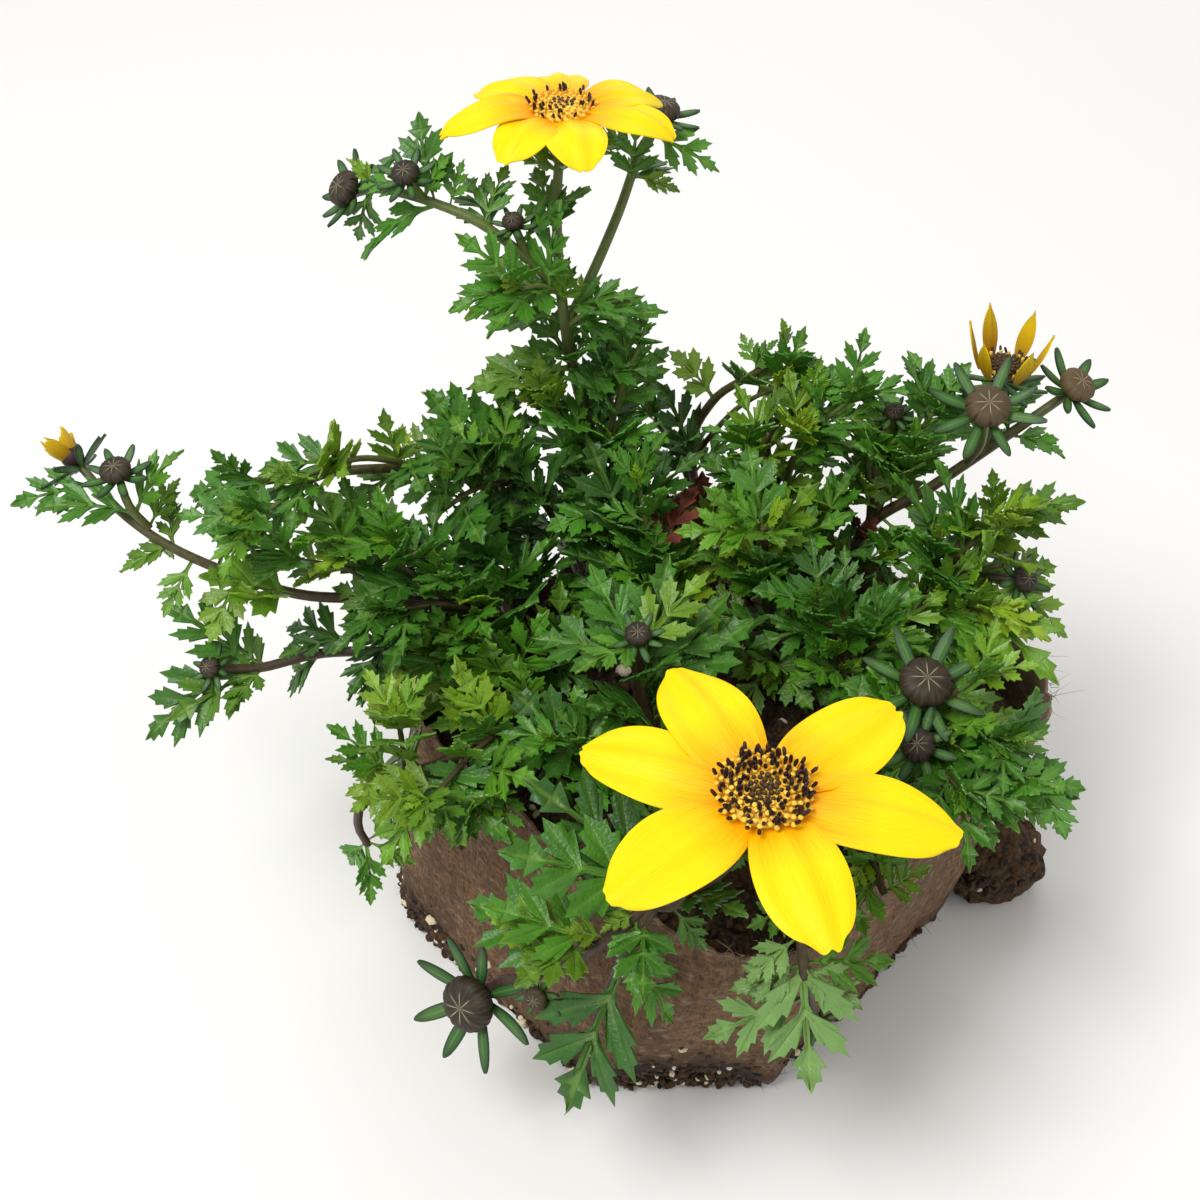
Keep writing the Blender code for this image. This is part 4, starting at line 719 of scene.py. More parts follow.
def seen_in(point, circles):
    """Whether the photo shows a point within one of the circles."""
    at = pixel_of(point)
    return any(np.hypot(at[0] - x, at[1] - y) < reach for x, y, reach in circles)


class Foliage(Layout):
    """The solids' layout first, then twigs and more leaves in what room is left, with less clearance."""

    def __init__(self):
        self.twigs = []
        super().__init__()
        self.wanted = []
        self.sheet_room, self.stem_room = FINE_ROOM, FINE_ROOM
        self.stems = list(self.shoots)
        for pixel in TWIG_ENDS:
            self.add_twig(pixel)
        for end in LEAF_ENDS:
            self.want_seen(end[:2], end[2])
        for owner, path in self.twigs:
            self.want_more(owner, path, BUSHY_TWIG)
        for owner, _, path in self.stems:
            self.want_more(owner, path, BUSHY.get(owner, BUSHY_ELSEWHERE))
        for want in self.wanted:
            foot, way, length = want[2], want[3], want[5]
            if not any(seen_in(foot + way * length * share, GAPS) for share in (1.0, 0.55)):
                self.place(*want[1:])

    def is_free(self, owner, blade, kind):
        return (not self.twigs or self.clear_of_petals(blade)) and super().is_free(owner, blade, kind)

    def clear_of_petals(self, blade):
        """Whether a leaf stays out of the round plates that the open flowers' petals lie in."""
        spots = blade.at((0.5, 0.8, 1.0), 0.0)
        for _, kind, centre, axis, _ in self.heads:
            if kind in PETAL_PLATE:
                rise = (spots - centre) @ axis
                away = norm(spots - centre - rise[:, None] * axis, axis=1)
                if ((away < PETAL_PLATE[kind]) & (rise > PLATE_LOW) & (rise < PLATE_HIGH)).any():
                    return False
        return True

    def foot_of(self, pixel, length, depth_gain):
        """The owner, foot and end of a twig or leaf of a length that ends in a pixel."""
        forward = sight()[0]
        best = None
        for owner, _, path in self.stems:
            path = path[path[:, 2] > MEDIUM_TOP + 4]
            if not len(path):
                continue
            ends = seen_at(pixel, (path - CAMERA_AT) @ forward - depth_gain)
            away = norm(ends - path, axis=1)
            near = int(np.argmin(away))
            if best is None or away[near] < best[0]:
                best = away[near], owner, path, ends, away, near
        _, owner, path, ends, away, near = best
        foot = near
        while foot > 0 and away[foot] < length:
            foot -= 1
        return owner, path[foot], ends[near]

    def add_twig(self, pixel):
        draw = random.Random(f"twig {pixel}")
        owner, foot, end = self.foot_of(pixel, draw.uniform(13, 19), draw.uniform(1, 5))
        if norm(end - foot) > TWIG_MOST:
            return
        middle = (foot + end) / 2 + (0.0, 0.0, 0.12 * norm(end - foot))
        shoot = Shoot((tuple(foot), tuple(middle), tuple(end)), (0.5, 0.36))
        self.add_shoot(owner, shoot)
        self.twigs.append((owner, self.shoots[-1][2]))

    def want_seen(self, pixel, length):
        draw = random.Random(f"leaf {pixel}")
        owner, foot, end = self.foot_of(pixel, length, draw.uniform(0, 2))
        reach = norm(end - foot)
        if reach > 1.6 * length:
            return
        up = unit((draw.uniform(-0.2, 0.2), -0.35, 1.0))
        kind = "leaf" if length > LEAF_LEAST else "young"
        self.wanted.append((0, owner, foot, unit(end - foot), up, reach, draw.uniform(15, 45), kind))

    def want_more(self, owner, path, bushy):
        """Rings of two leaves at even steps along a shoot above the medium, and a tuft at a twig's end."""
        draw = random.Random(f"more {owner} {path[-1]}")
        spacing, low_length, end_length = bushy
        reach = lengths_along(path)
        turn = draw.uniform(0, 180)
        places = np.arange(3.0 + draw.uniform(0, 2), reach[-1] - 1.0, spacing)
        for place in places[::-1]:
            point, along = spot_on(path, reach, place)
            if point[2] < LEAVES_FROM:
                continue
            length = low_length + (end_length - low_length) * place / reach[-1]
            kind = "leaf" if length > LEAF_LEAST else "young"
            seat = point, along, 0.5
            self.want_ring(3, owner, draw, seat, turn, 2, length * draw.uniform(0.8, 1.1), 58, kind)
            if draw.random() < 0.2:
                self.want_ring(4, owner, draw, seat, turn + 80, 2, draw.uniform(6, 9), 34, "young")
            turn += 90 + draw.uniform(-15, 15)
        if bushy is BUSHY_TWIG:
            along = unit(path[-1] - path[-2])
            seat = path[-1] - along * 0.5, along, 0.3
            self.want_ring(3, owner, draw, seat, turn, 3, draw.uniform(10, 12.5), 46, "leaf")
            self.want_ring(4, owner, draw, seat, turn + 60, 2, draw.uniform(5, 7), 22, "young")


@functools.lru_cache(maxsize=1)
def foliage():
    return Foliage()


# Shapes


@dataclass
class Shape:
    """Part of a mesh: points, faces, which of its object's looks it takes, and what its look reads.

    growth holds three shares from 0 to 1 for each point, uv its place along and across.
    """

    points: np.ndarray
    faces: list
    look: int
    growth: np.ndarray
    uv: np.ndarray


def linear(code):
    """An sRGB hex colour in linear light."""
    shares = [int(code[i : i + 2], 16) / 255 for i in (0, 2, 4)]
    return tuple(c / 12.92 if c <= 0.04045 else ((c + 0.055) / 1.055) ** 2.4 for c in shares)


def lattice(cells, seed):
    """A number from -1 to 1 for each cell: the far digits of a sine of its place."""
    value = np.sin(cells @ np.array((12.9898, 78.233, 37.719)) + seed * 4.7) * 43758.5453
    return 2.0 * (value - np.floor(value)) - 1.0


def rough(points, size, seed):
    """Smooth noise from -1 to 1: the numbers of a cell's eight corners, blended by the place in the cell."""
    place = points / size
    cell = np.floor(place)
    share = place - cell
    share = share * share * (3.0 - 2.0 * share)
    total = 0.0
    for corner in itertools.product((0, 1), repeat=3):
        weight = np.prod(np.where(corner, share, 1.0 - share), axis=-1)
        total = total + weight * lattice(cell + np.array(corner), seed)
    return total


def rough_along(place, seed):
    """Smooth noise along a line, its features one unit long."""
    return rough(np.stack([place, place * 0.0, place * 0.0], -1), 1.0, seed)


def shares(count):
    return np.linspace(0.0, 1.0, count)


def bell(gap, width):
    """1 where there is no gap, falling along a bell curve as it widens."""
    return np.exp(-((gap / width) ** 2))


def held(values):
    """Values held between 0 and 1."""
    return np.clip(values, 0.0, 1.0)


def units(vectors):
    """Each of many vectors at a length of one."""
    return vectors / norm(vectors, axis=-1, keepdims=True)


def grid(rows, columns):
    """The place of each point of a sheet: 0 to 1 along it and -1 to 1 across it."""
    return np.meshgrid(shares(rows), np.linspace(-1, 1, columns), indexing="ij")


def ring_faces(rows, count, closed=False):
    """Quads that join each ring of points to the next, and the last to the first if closed."""
    index = np.arange(rows * count).reshape(rows, count)
    index = np.vstack([index[-1:], index]) if closed else index
    after = np.roll(index, -1, axis=1)
    return np.stack([index[:-1], after[:-1], after[1:], index[1:]], -1).reshape(-1, 4)


def angles(count):
    """So many angles at even steps round a turn."""
    return np.arange(count) * TURN / count


def copied(faces, count, size):
    """The faces of so many copies of a small shape, each of so many points."""
    hops = (np.arange(count) * size)[:, None, None]
    return [(part[None] + hops).reshape(-1, part.shape[1]) for part in faces]


def flat_growth(shape, first=0.0, second=0.0, third=0.0):
    """The same three shares, or arrays of them, at each point."""
    return np.stack([np.broadcast_to(v, shape) for v in (first, second, third)], -1)


def slab(blade, s, t, lift, half, growth, uv, look):
    """A thin closed sheet on a blade: a top grid, a bottom grid turned over and the wall that joins them."""
    top, bottom = blade.at(s, t, lift + half), blade.at(s, t, lift - half)
    rows, columns = top.shape[:2]
    count = rows * columns
    index = np.arange(count).reshape(rows, columns)
    upper = np.stack([index[:-1, :-1], index[:-1, 1:], index[1:, 1:], index[1:, :-1]], -1).reshape(-1, 4)
    edge = np.concatenate([index[0, :-1], index[:-1, -1], index[-1, :0:-1], index[:0:-1, 0]])
    after = np.roll(edge, -1)
    wall = np.stack([after, edge, edge + count, after + count], -1)
    points = np.concatenate([top.reshape(-1, 3), bottom.reshape(-1, 3)])
    twice = [np.tile(part.reshape(count, -1), (2, 1)) for part in (growth, uv)]
    return Shape(points, [upper, upper[:, ::-1] + count, wall], look, *twice)


def rounded(rings, low, high, growth, uv, look):
    """A body of rings closed by a point at each end, with a fan of triangles round each point."""
    rows, count = rings.shape[:2]
    ring = np.arange(count)
    after = np.roll(ring, -1)
    first = rows * count
    top = first - count
    sides = ring_faces(rows, count)
    below = np.stack([np.full(count, first), after, ring], -1)
    above = np.stack([np.full(count, first + 1), ring + top, after + top], -1)
    points = np.concatenate([rings.reshape(-1, 3), [low], [high]])
    ends = [
        np.concatenate([part.reshape(rows * count, -1), [part[0].mean(axis=0)], [part[-1].mean(axis=0)]])
        for part in (growth, uv)
    ]
    return Shape(points, [sides, below, above], look, *ends)


def frames(ways):
    """Two unit vectors square to each of many ways."""
    aside = np.where(np.abs(ways[..., :1]) < 0.9, (1.0, 0.0, 0.0), (0.0, 1.0, 0.0))
    across = units(aside - (aside * ways).sum(-1, keepdims=True) * ways)
    return across, np.cross(ways, across)


def turned_body(centre, axis, heights, reach, look, growth):
    """A turned body: at each height a ring whose radius is given for every angle round the axis."""
    across, back = around(axis)
    angle = angles(reach.shape[1])
    ring = across * np.cos(angle)[:, None] + back * np.sin(angle)[:, None]
    rings = centre + axis * heights[:, None, None] + ring * reach[..., None]
    uv = np.stack(np.meshgrid(shares(len(heights)), angle / TURN, indexing="ij"), -1)
    low, high = rings[0].mean(axis=0), rings[-1].mean(axis=0)
    return rounded(rings, low, high, growth, uv, look)


def planted(shape, feet, ways, sizes, turns, tones):
    """Copies of a small upright shape, each turned, scaled and stood on its foot along its way."""
    across, back = frames(ways)
    turns = turns[:, None]
    first = across * np.cos(turns) + back * np.sin(turns)
    second = np.cross(ways, first)
    basis = np.stack([first, second, ways], 1)
    scaled = shape.points[None] * sizes[:, None]
    points = np.einsum("kpi,kij->kpj", scaled, basis) + feet[:, None]
    faces = copied(shape.faces, len(feet), len(shape.points))
    growth = np.tile(shape.growth, (len(feet), 1))
    growth[:, 2] = np.repeat(tones, len(shape.points))
    return Shape(points.reshape(-1, 3), faces, shape.look, growth, np.tile(shape.uv, (len(feet), 1)))


def stand(name, data):
    """A new object in the scene."""
    made = bpy.data.objects.new(name, data)
    bpy.context.scene.collection.objects.link(made)
    return made


def put(name, shapes, looks, slot, *nodes):
    """Makes one object of the shapes, lets it ride on the pot and stand for the nodes it replaces."""
    points = np.vstack([shape.points for shape in shapes]) * MM
    faces, numbers, start = [], [], 0
    for shape in shapes:
        for part in shape.faces:
            faces += (part + start).tolist()
            numbers += [shape.look] * len(part)
        start += len(shape.points)
    mesh = bpy.data.meshes.new(name)
    mesh.from_pydata(points.tolist(), [], faces)
    mesh.polygons.foreach_set("material_index", numbers)
    growth = np.vstack([shape.growth for shape in shapes])
    colour = np.column_stack([growth, np.ones(len(growth))]).astype(np.float32)
    mesh.attributes.new("growth", "FLOAT_COLOR", "POINT").data.foreach_set("color", colour.ravel())
    corner = np.empty(len(mesh.loops), np.int32)
    mesh.loops.foreach_get("vertex_index", corner)
    uv = np.vstack([shape.uv for shape in shapes]).astype(np.float32)[corner]
    mesh.uv_layers.new(name="place").uv.foreach_set("vector", uv.ravel())
    mesh.shade_smooth()
    mesh.set_sharp_from_angle(angle=math.radians(55))
    for look in looks:
        mesh.materials.append(look)
    obj = stand(name, mesh)
    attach(obj, "root")
    if nodes:
        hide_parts(*nodes)


# Looks


class Look:
    """A material while it is put together: its nodes, its colour and the shares of growth that it reads."""

    def __init__(self, name, roughness, colour):
        self.material = bpy.data.materials.new(name)
        self.material.use_nodes = True
        self.tree = self.material.node_tree
        self.shader = self.tree.nodes["Principled BSDF"]
        self.shader.inputs["Roughness"].default_value = roughness
        self.colour = colour
        growth = self.add("ShaderNodeAttribute", attribute_name="growth")
        self.growth = self.add("ShaderNodeSeparateColor", {"Color": growth.outputs["Color"]}).outputs

    def add(self, kind, links=None, **settings):
        """Adds a node, with its own settings, and a value or a link for each of its sockets that is named."""
        node = self.tree.nodes.new(kind)
        for name, value in settings.items():
            setattr(node, name, value)
        for name, value in (links or {}).items():
            if isinstance(value, bpy.types.NodeSocket):
                self.tree.links.new(value, node.inputs[name])
            else:
                node.inputs[name].default_value = value
        return node

    def maths(self, operation, first, second=0.0):
        return self.add("ShaderNodeMath", {0: first, 1: second}, operation=operation).outputs[0]

    def ranged(self, value, low, high, to_low=0.0, to_high=1.0):
        """A value taken from one range to another, and held at its ends."""
        sockets = {"Value": value, "From Min": low, "From Max": high, "To Min": to_low, "To Max": to_high}
        return self.add("ShaderNodeMapRange", sockets).outputs[0]

    def tint(self, other, share, *span):
        """Turns the colour into another by a share, or by a value that is ranged over a span first."""
        share = self.ranged(share, *span) if span else share
        first, second = [(*c, 1.0) if isinstance(c, tuple) else c for c in (self.colour, other)]
        mix = self.add("ShaderNodeMix", {0: share, 6: first, 7: second}, data_type="RGBA")
        self.colour = mix.outputs[2]

    def noise(self, where, scale, detail, stretch=None):
        if stretch:
            where = self.add("ShaderNodeMapping", {"Vector": where, "Scale": stretch}).outputs[0]
        sockets = {"Vector": where, "Scale": scale, "Detail": detail}
        return self.add("ShaderNodeTexNoise", sockets).outputs[0]

    def speckle(self, size, detail=2.0, stretch=None):
        """Noise on the object's own coordinates, with features of a size in millimetres."""
        where = self.add("ShaderNodeTexCoord").outputs["Object"]
        return self.noise(where, 1.0 / (size * MM), detail, stretch)

    def place(self):
        """The place of a point along and across its piece."""
        return self.add("ShaderNodeUVMap", uv_map="place").outputs[0]

    def finished(self, height=None, depth=0.0):
        """The material in its colour, with bump from a height that is so many millimetres deep."""
        if isinstance(self.colour, tuple):
            self.shader.inputs["Base Color"].default_value = (*self.colour, 1.0)
        else:
            self.tree.links.new(self.colour, self.shader.inputs["Base Color"])
        if height is not None:
            bump = self.add("ShaderNodeBump", {"Height": height, "Distance": depth * MM, "Strength": 1.0})
            self.tree.links.new(bump.outputs[0], self.shader.inputs["Normal"])
        return self.material


def shade(colour, share):
    """A colour made darker or lighter by a share."""
    return tuple(share * c for c in colour)


def leaf_look(name, greens, rib, roughness):
    """Fresh leaf: soft tissue under a waxy skin, so a broken satin gloss, paler ribs and mottled green."""
    old, middle, young = greens
    look = Look(name, roughness, old)
    vein, age, tone = look.growth
    across = look.add("ShaderNodeSeparateXYZ", {0: look.place()}).outputs[1]
    look.tint(middle, age, 0.0, 0.5)
    look.tint(young, age, 0.5, 1.0)
    look.tint(shade(old, 0.4), look.speckle(2.6), 0.35, 0.65, 0.3, 0.0)
    look.tint(shade(old, 0.4), tone, 0.0, 1.0, 0.5, 0.0)
    midrib = look.ranged(look.maths("ABSOLUTE", across), 0.008, 0.024, 1.0, 0.0)
    ribs = look.maths("MAXIMUM", midrib, look.maths("POWER", vein, 2.0))
    look.tint(rib, look.maths("MULTIPLY", ribs, 0.26))
    # Real leaf cells are too fine to show, so these are drawn coarse enough to break the gloss.
    cells = look.speckle(0.45, 1.0)
    return look.finished(look.maths("SUBTRACT", cells, ribs), 0.12)


def stem_look(low, middle, top):
    """Stem skin: smooth, purple-brown where it is old and low, brown-green then green higher up."""
    look = Look("stem_skin", 0.5, low)
    _, height, _ = look.growth
    streak = look.speckle(0.7, 2.0, (1.0, 1.0, 0.25))
    rising = look.maths("ADD", height, look.ranged(streak, 0.3, 0.7, -0.16, 0.16))
    look.tint(middle, rising, 0.05, 0.5)
    look.tint(top, rising, 0.5, 1.0)
    return look.finished(streak, 0.08)


def bract_look(green, edge, rib):
    """Outer bract: a dull green strip with a paler middle and dark edges and tip."""
    look = Look("bract_green", 0.55, green)
    middle, tip, tone = look.growth
    look.tint(rib, tone, 0.0, 1.0, 0.0, 0.12)
    look.tint(rib, middle, 0.8, 1.0, 0.0, 0.22)
    look.tint(edge, middle, 0.05, 0.45, 0.85, 0.0)
    look.tint(edge, tip, 0.7, 1.0, 0.0, 0.75)
    return look.finished(look.speckle(0.4), 0.08)


def bud_look(dark, tan, seam):
    """Bud scales: dry dark brown skin, with fine streaks that run to a cream star on top."""
    look = Look("bud_scales", 0.62, dark)
    star, low, tone = look.growth
    place = look.place()
    rise = look.add("ShaderNodeSeparateXYZ", {0: place}).outputs[0]
    lines = look.noise(place, 1.0, 2.0, (2.0, 46.0, 1.0))
    look.tint(tan, lines, 0.42, 0.7, 0.0, 0.7)
    look.tint(tan, look.maths("MULTIPLY", low, look.speckle(1.1)), 0.3, 0.6, 0.0, 0.5)
    look.tint(shade(tan, 1.7), tone, 0.2, 1.0, 0.0, 0.75)
    look.tint(seam, look.maths("ADD", look.ranged(rise, 0.66, 1.02), lines), 1.4, 1.65, 0.0, 0.6)
    look.tint(seam, star)
    return look.finished(lines, 0.15)


def hair_look(white):
    """Plant hairs: clear hollow threads, which scatter light and so look white against the green."""
    return Look("plant_hair", 0.5, white).finished()


def petal_look(name, yellow, base, streaks):
    """Ray petal: bright yellow, warm orange at its base, with fine lines along it and a soft satin sheen."""
    look = Look(name, 0.48, yellow)
    warm, _, _ = look.growth
    lines = look.noise(look.place(), 1.0, 3.0, (2.5, 26.0, 1.0))
    warmth = look.maths("MULTIPLY", warm, look.ranged(lines, 0.3, 0.7, 0.6, 1.4))
    look.tint(streaks, lines, 0.45, 0.75, 0.0, 0.28)
    look.tint(base, warmth, 0.0, 1.0)
    look.shader.inputs["Specular IOR Level"].default_value = 0.22
    return look.finished(lines, 0.10)


def floret_look(name, foot, tip, roughness=0.6):
    """A floret's skin: one colour at its foot turning into another at its tip."""
    look = Look(name, roughness, foot)
    rise, _, tone = look.growth
    look.tint(tip, rise, 0.25, 0.85)
    look.tint(shade(foot, 0.6), tone, 0.0, 1.0, 0.0, 0.5)
    return look.finished()


def fibre_look(brown, dark, pale, peat):
    """Felted plant fibre: matt tangled threads, stained by the damp medium, pale along its torn edge."""
    look = Look("felted_fibre", 0.93, dark)
    torn, damp, _ = look.growth
    # Real threads are too fine to show, so these are drawn a few times as coarse.
    upright = look.speckle(0.5, 5.0, (1.0, 1.0, 0.3))
    threads = look.maths("MAXIMUM", upright, look.speckle(0.6, 4.0, (0.3, 0.3, 1.0)))
    look.tint(brown, threads, 0.42, 0.7)
    look.tint(dark, look.speckle(4.0, 4.0, (1.0, 1.0, 0.25)), 0.48, 0.72, 0.0, 0.7)
    blotch = look.maths("ADD", look.speckle(6.0, 5.0), damp)
    look.tint(dark, blotch, 0.62, 1.0, 0.0, 0.8)
    look.tint(peat, blotch, 0.95, 1.3, 0.0, 1.0)
    look.tint(pale, look.speckle(1.6, 4.0), 0.55, 0.75, 0.0, 0.4)
    look.tint(pale, torn)
    return look.finished(threads, 0.4)


def soil_look(name, dark, brown, roughness):
    """Moist peat and bark: near black, with brown crumbs and a rough, broken surface."""
    look = Look(name, roughness, dark)
    _, _, tone = look.growth
    grain = look.speckle(0.8, 4.0)
    look.tint(brown, grain, 0.4, 0.72)
    look.tint(brown, tone, 0.4, 1.0, 0.0, 0.6)
    return look.finished(grain, 0.5)


# Plant pieces

# One side of a lobe from its foot to its tip, along it and across it in shares of its length and half width
LOBE_SIDE = ((0.12, 0.42), (0.36, 0.85), (0.56, 1.25), (0.57, 0.75), (0.78, 0.88), (0.79, 0.44), (1.0, 0.0))
END_SIDE = (
    (0.0, 0.2), (0.2, 0.68), (0.42, 1.2), (0.45, 0.72), (0.69, 0.86), (0.72, 0.42), (0.88, 0.22), (1.0, 0.03),
)


def half_leaf(lobes, end, end_wide):
    """A leaf's right half as rows, in shares of its length, and the rows of its lobes' tips.

    A row is a point of the cut edge, along and across, and the place along the rib that it hangs on. A lobe
    is its foot on the rib, its angle from the rib, its length and its half width; the last one runs on from
    end.
    """
    rows, tips = [(0.0, 0.017, 0.0), (0.12, 0.018, 0.115)], []
    edge = LOBE_SIDE + tuple((q, -w) for q, w in LOBE_SIDE[-2::-1])
    for foot, angle, length, wide in lobes:
        turn = math.radians(angle)
        rows.append((foot - 0.055, 0.024, foot - 0.05))
        for i, (q, w) in enumerate(edge):
            s = foot + q * length * math.cos(turn) - w * wide * math.sin(turn)
            t = q * length * math.sin(turn) + w * wide * math.cos(turn)
            rows.append((s, max(t, 0.026), foot - 0.035 + 0.07 * i / (len(edge) - 1)))
        tips.append(len(rows) - len(LOBE_SIDE))
    for q, w in END_SIDE:
        rows.append((end + q * (1.0 - end), w * end_wide, end + (0.97 * q - 0.02) * (1.0 - end)))
    tips.append(len(rows) - 6)
    return np.array(rows), tuple(tips)


HALVES = {
    "cut": half_leaf(((0.2, 47, 0.46, 0.082), (0.44, 41, 0.4, 0.075)), 0.66, 0.095),
    "broad": half_leaf(((0.22, 50, 0.46, 0.115), (0.48, 43, 0.39, 0.1)), 0.68, 0.125),
    "young": half_leaf(((0.27, 40, 0.44, 0.08), (0.5, 35, 0.34, 0.07)), 0.68, 0.085),
}
FINE_STEP = 1.6  # between the rings of a stem
HAIR_RADIUS = 0.016
ACROSS = {"leaf": np.array((-1.0, -0.45, 0.0, 0.45, 1.0)), "young": np.array((-1.0, 0.0, 1.0))}


def leaf_spot(blade, share):
    """A point of a leaf at a share of its length, as if it ran straight on from its foot."""
    return blade.base + blade.start * blade.length * share


def leaf_age(blade, kind):
    """0 for an old dark leaf to 1 for a young yellow-green one, by its kind, its length and its place, where
    painted light raises it and painted shade lowers it.
    """
    at = pixel_of(leaf_spot(blade, 0.7))
    age = 1.05 - blade.length / 16.0 if kind == "young" else 0.78 - blade.length / 34.0
    # Spots of young leaves and painted light raise the age; spots of painted shade lower it.
    for spots, sign in ((YOUNG_AND_LIT_SPOTS, 1.0), (PAINTED_SHADE_SPOTS, -1.0)):
        for x, y, reach, gain in spots:
            age += sign * gain * math.exp(-(((at[0] - x) ** 2 + (at[1] - y) ** 2) / reach**2))
    return age + 0.2 * float(rough(blade.base, 13.0, 51))


def odd_look(blade):
    """Which of the stems' looks a leaf takes: a withered or downy one if the photo shows one there."""
    spot = leaf_spot(blade, 0.6)
    return 3 if seen_in(spot, WITHERED_SPOTS) else 4 if seen_in(spot, DOWNY_SPOTS) else 0


def leaf_shape(blade, kind, age, thickness, draw):
    """A leaf: straight lines run from its rib to its cut edge, and it ripples and sinks along its ribs."""
    tone = draw.random()
    form = draw.choice(("cut", "cut", "cut", "cut", "broad")) if kind == "leaf" else kind
    half, tips = HALVES[form]
    across = ACROSS["leaf" if blade.length > 11.5 else "young"]
    edge_s, edge_t, rib_s = half.T[:, :, None]
    v = np.abs(across)
    s = rib_s + v * (edge_s - rib_s)
    t = across * edge_t
    phase = draw.uniform(0, 6.28)
    ripple = 0.024 * blade.length * v**2 * np.sin(9.0 * s + 5.0 * np.sign(across) + phase)
    vein = np.zeros(s.shape)
    vein[list(tips)] = 1.0 - 0.5 * v
    vein[:, len(across) // 2] = 1.0
    lift = ripple - 0.02 * blade.length * vein * (v < 1.0)
    growth = flat_growth(s.shape, vein, age, tone)
    uv = np.stack([s, t], -1)
    return slab(blade, s, t, lift, thickness / 2 * (1.0 - 0.4 * v), growth, uv, odd_look(blade))


def leaf_hairs(blade, rng, count):
    """Fine hairs that stand on a leaf, on the lines that run from its rib to the tips of its lobes."""
    rows, tips = HALVES["cut"]
    edge_s, edge_t, rib_s = rows[list(tips)][rng.integers(0, len(tips), count)].T
    v = rng.uniform(0, 0.95, count)
    s, t = rib_s + v * (edge_s - rib_s), rng.choice((-1.0, 1.0), count) * v * edge_t
    feet = blade.at(s, t, 0.1)
    ways = blade.at(s, t, 1.1) - feet + rng.uniform(-0.6, 0.6, (count, 3))
    bends = rng.uniform(-0.3, 0.3, (count, 3))
    return strands(feet, ways, bends, rng.uniform(0.7, 1.5, count), HAIR_RADIUS, 5, 0.9)


def stem_shape(shoot):
    """A shoot's stem: at each place of its path a ring of radius r (1 + 0.07 cos 4a), square to the path.

    It is thinner towards its end, swollen at its pairs of leaves and greener as it rises.
    """
    path = smooth_path(shoot.path, FINE_STEP)
    share = shares(len(path))
    radii = shoot.radii[0] + (shoot.radii[1] - shoot.radii[0]) * share
    for place, _ in shoot.pairs:
        radii = radii * (1.0 + 0.35 * bell((share - place) * len(path), 1.1))
    height = held((path[:, 2] - MEDIUM_TOP) / 55.0) + 0.25 * share * (shoot.radii[0] < 1.0)
    ways = units(np.gradient(path, axis=0))
    sideways = [frames(ways[:1])[0][0]]
    for way in ways:
        sideways.append(unit(sideways[-1] - np.dot(sideways[-1], way) * way))
    sideways = np.array(sideways[1:])[:, None]
    angle = angles(12)[None, :, None]
    reach = radii[:, None, None] * (1.0 + 0.07 * np.cos(4 * angle))
    third = np.cross(ways[:, None], sideways)
    rings = path[:, None] + reach * (sideways * np.cos(angle) + third * np.sin(angle))
    length = norm(np.diff(path, axis=0), axis=1).sum()
    uv = np.stack(np.meshgrid(share * length, angle.ravel(), indexing="ij"), -1)
    growth = flat_growth(rings.shape[:2], 0.0, held(height)[:, None], share[:, None])
    return rounded(rings, path[0], path[-1] + ways[-1] * radii[-1] * 0.5, growth, uv, 1)


def bract_shapes(head, draw):
    """A head's star of bracts: narrow strips, widest past their middle, with blunt ends."""
    _, kind, centre, axis, radius = head
    reach = bract_reach(kind, radius)
    slope = 0.04 if kind in BLOOMS else 0.24
    wide = 0.1 if kind in BLOOMS or radius > 3.0 else 0.13
    s, t = grid(11, 5)
    along = s - 0.03 * t * t * (s > 0.99)
    side = t * wide * np.sin(math.pi * (0.1 + 0.82 * s**1.3)) ** 0.7
    half = 0.22 * (1.0 - 0.5 * np.abs(t))
    found = []
    for i in range(BRACTS):
        out = outward(axis, TURN * (i + 0.5) / BRACTS + draw.uniform(-0.13, 0.13))
        length = reach * draw.uniform(0.9, 1.06)
        aim = unit(out + axis * (slope + draw.uniform(-0.12, 0.12)))
        blade = Blade(centre + out * 0.2 * radius, aim, axis, length, draw.uniform(-22, 14), curl=0.9)
        growth = flat_growth(s.shape, 1.0 - np.abs(t), s, draw.random())
        found.append(slab(blade, along, side, 0.0, half, growth, np.stack([s, t], -1), 2))
    return found


def bud_shape(head, draw):
    """A closed bud: a flattened ball of radius r sin a to the power 0.7, with eight seams and fine ribs."""
    _, _, centre, axis, radius = head
    a = (math.pi - 0.01) * (0.02 + 0.98 * shares(20)[:, None] ** 0.85)
    angle = angles(128)[None]
    top = held((a - 1.5) / 1.6)
    seam_gap = np.abs((angle * BRACTS / TURN + 0.5) % 1.0 - 0.5)
    seam = bell(seam_gap, 0.09)
    ribs = np.cos(angle * 3 * BRACTS + draw.uniform(0, 6))
    reach = radius * np.sin(a) ** 0.7 * (1.0 - 0.09 * seam * np.sin(a) + 0.016 * ribs)
    heights = BLADE / 2 + radius * (0.52 - 0.54 * np.cos(a.ravel()) - 0.1 * top.ravel() ** 3)
    star = bell(seam_gap, 0.045) * held((top - 0.66) / 0.3) * 0.85
    low = held(1.4 - a)
    tone = (0.7 if seen_in(centre, TAN_BUDS) else 0.1) + 0.3 * draw.random()
    growth = flat_growth(reach.shape, star, low, tone)
    return turned_body(centre, axis, heights, reach, 0, growth)


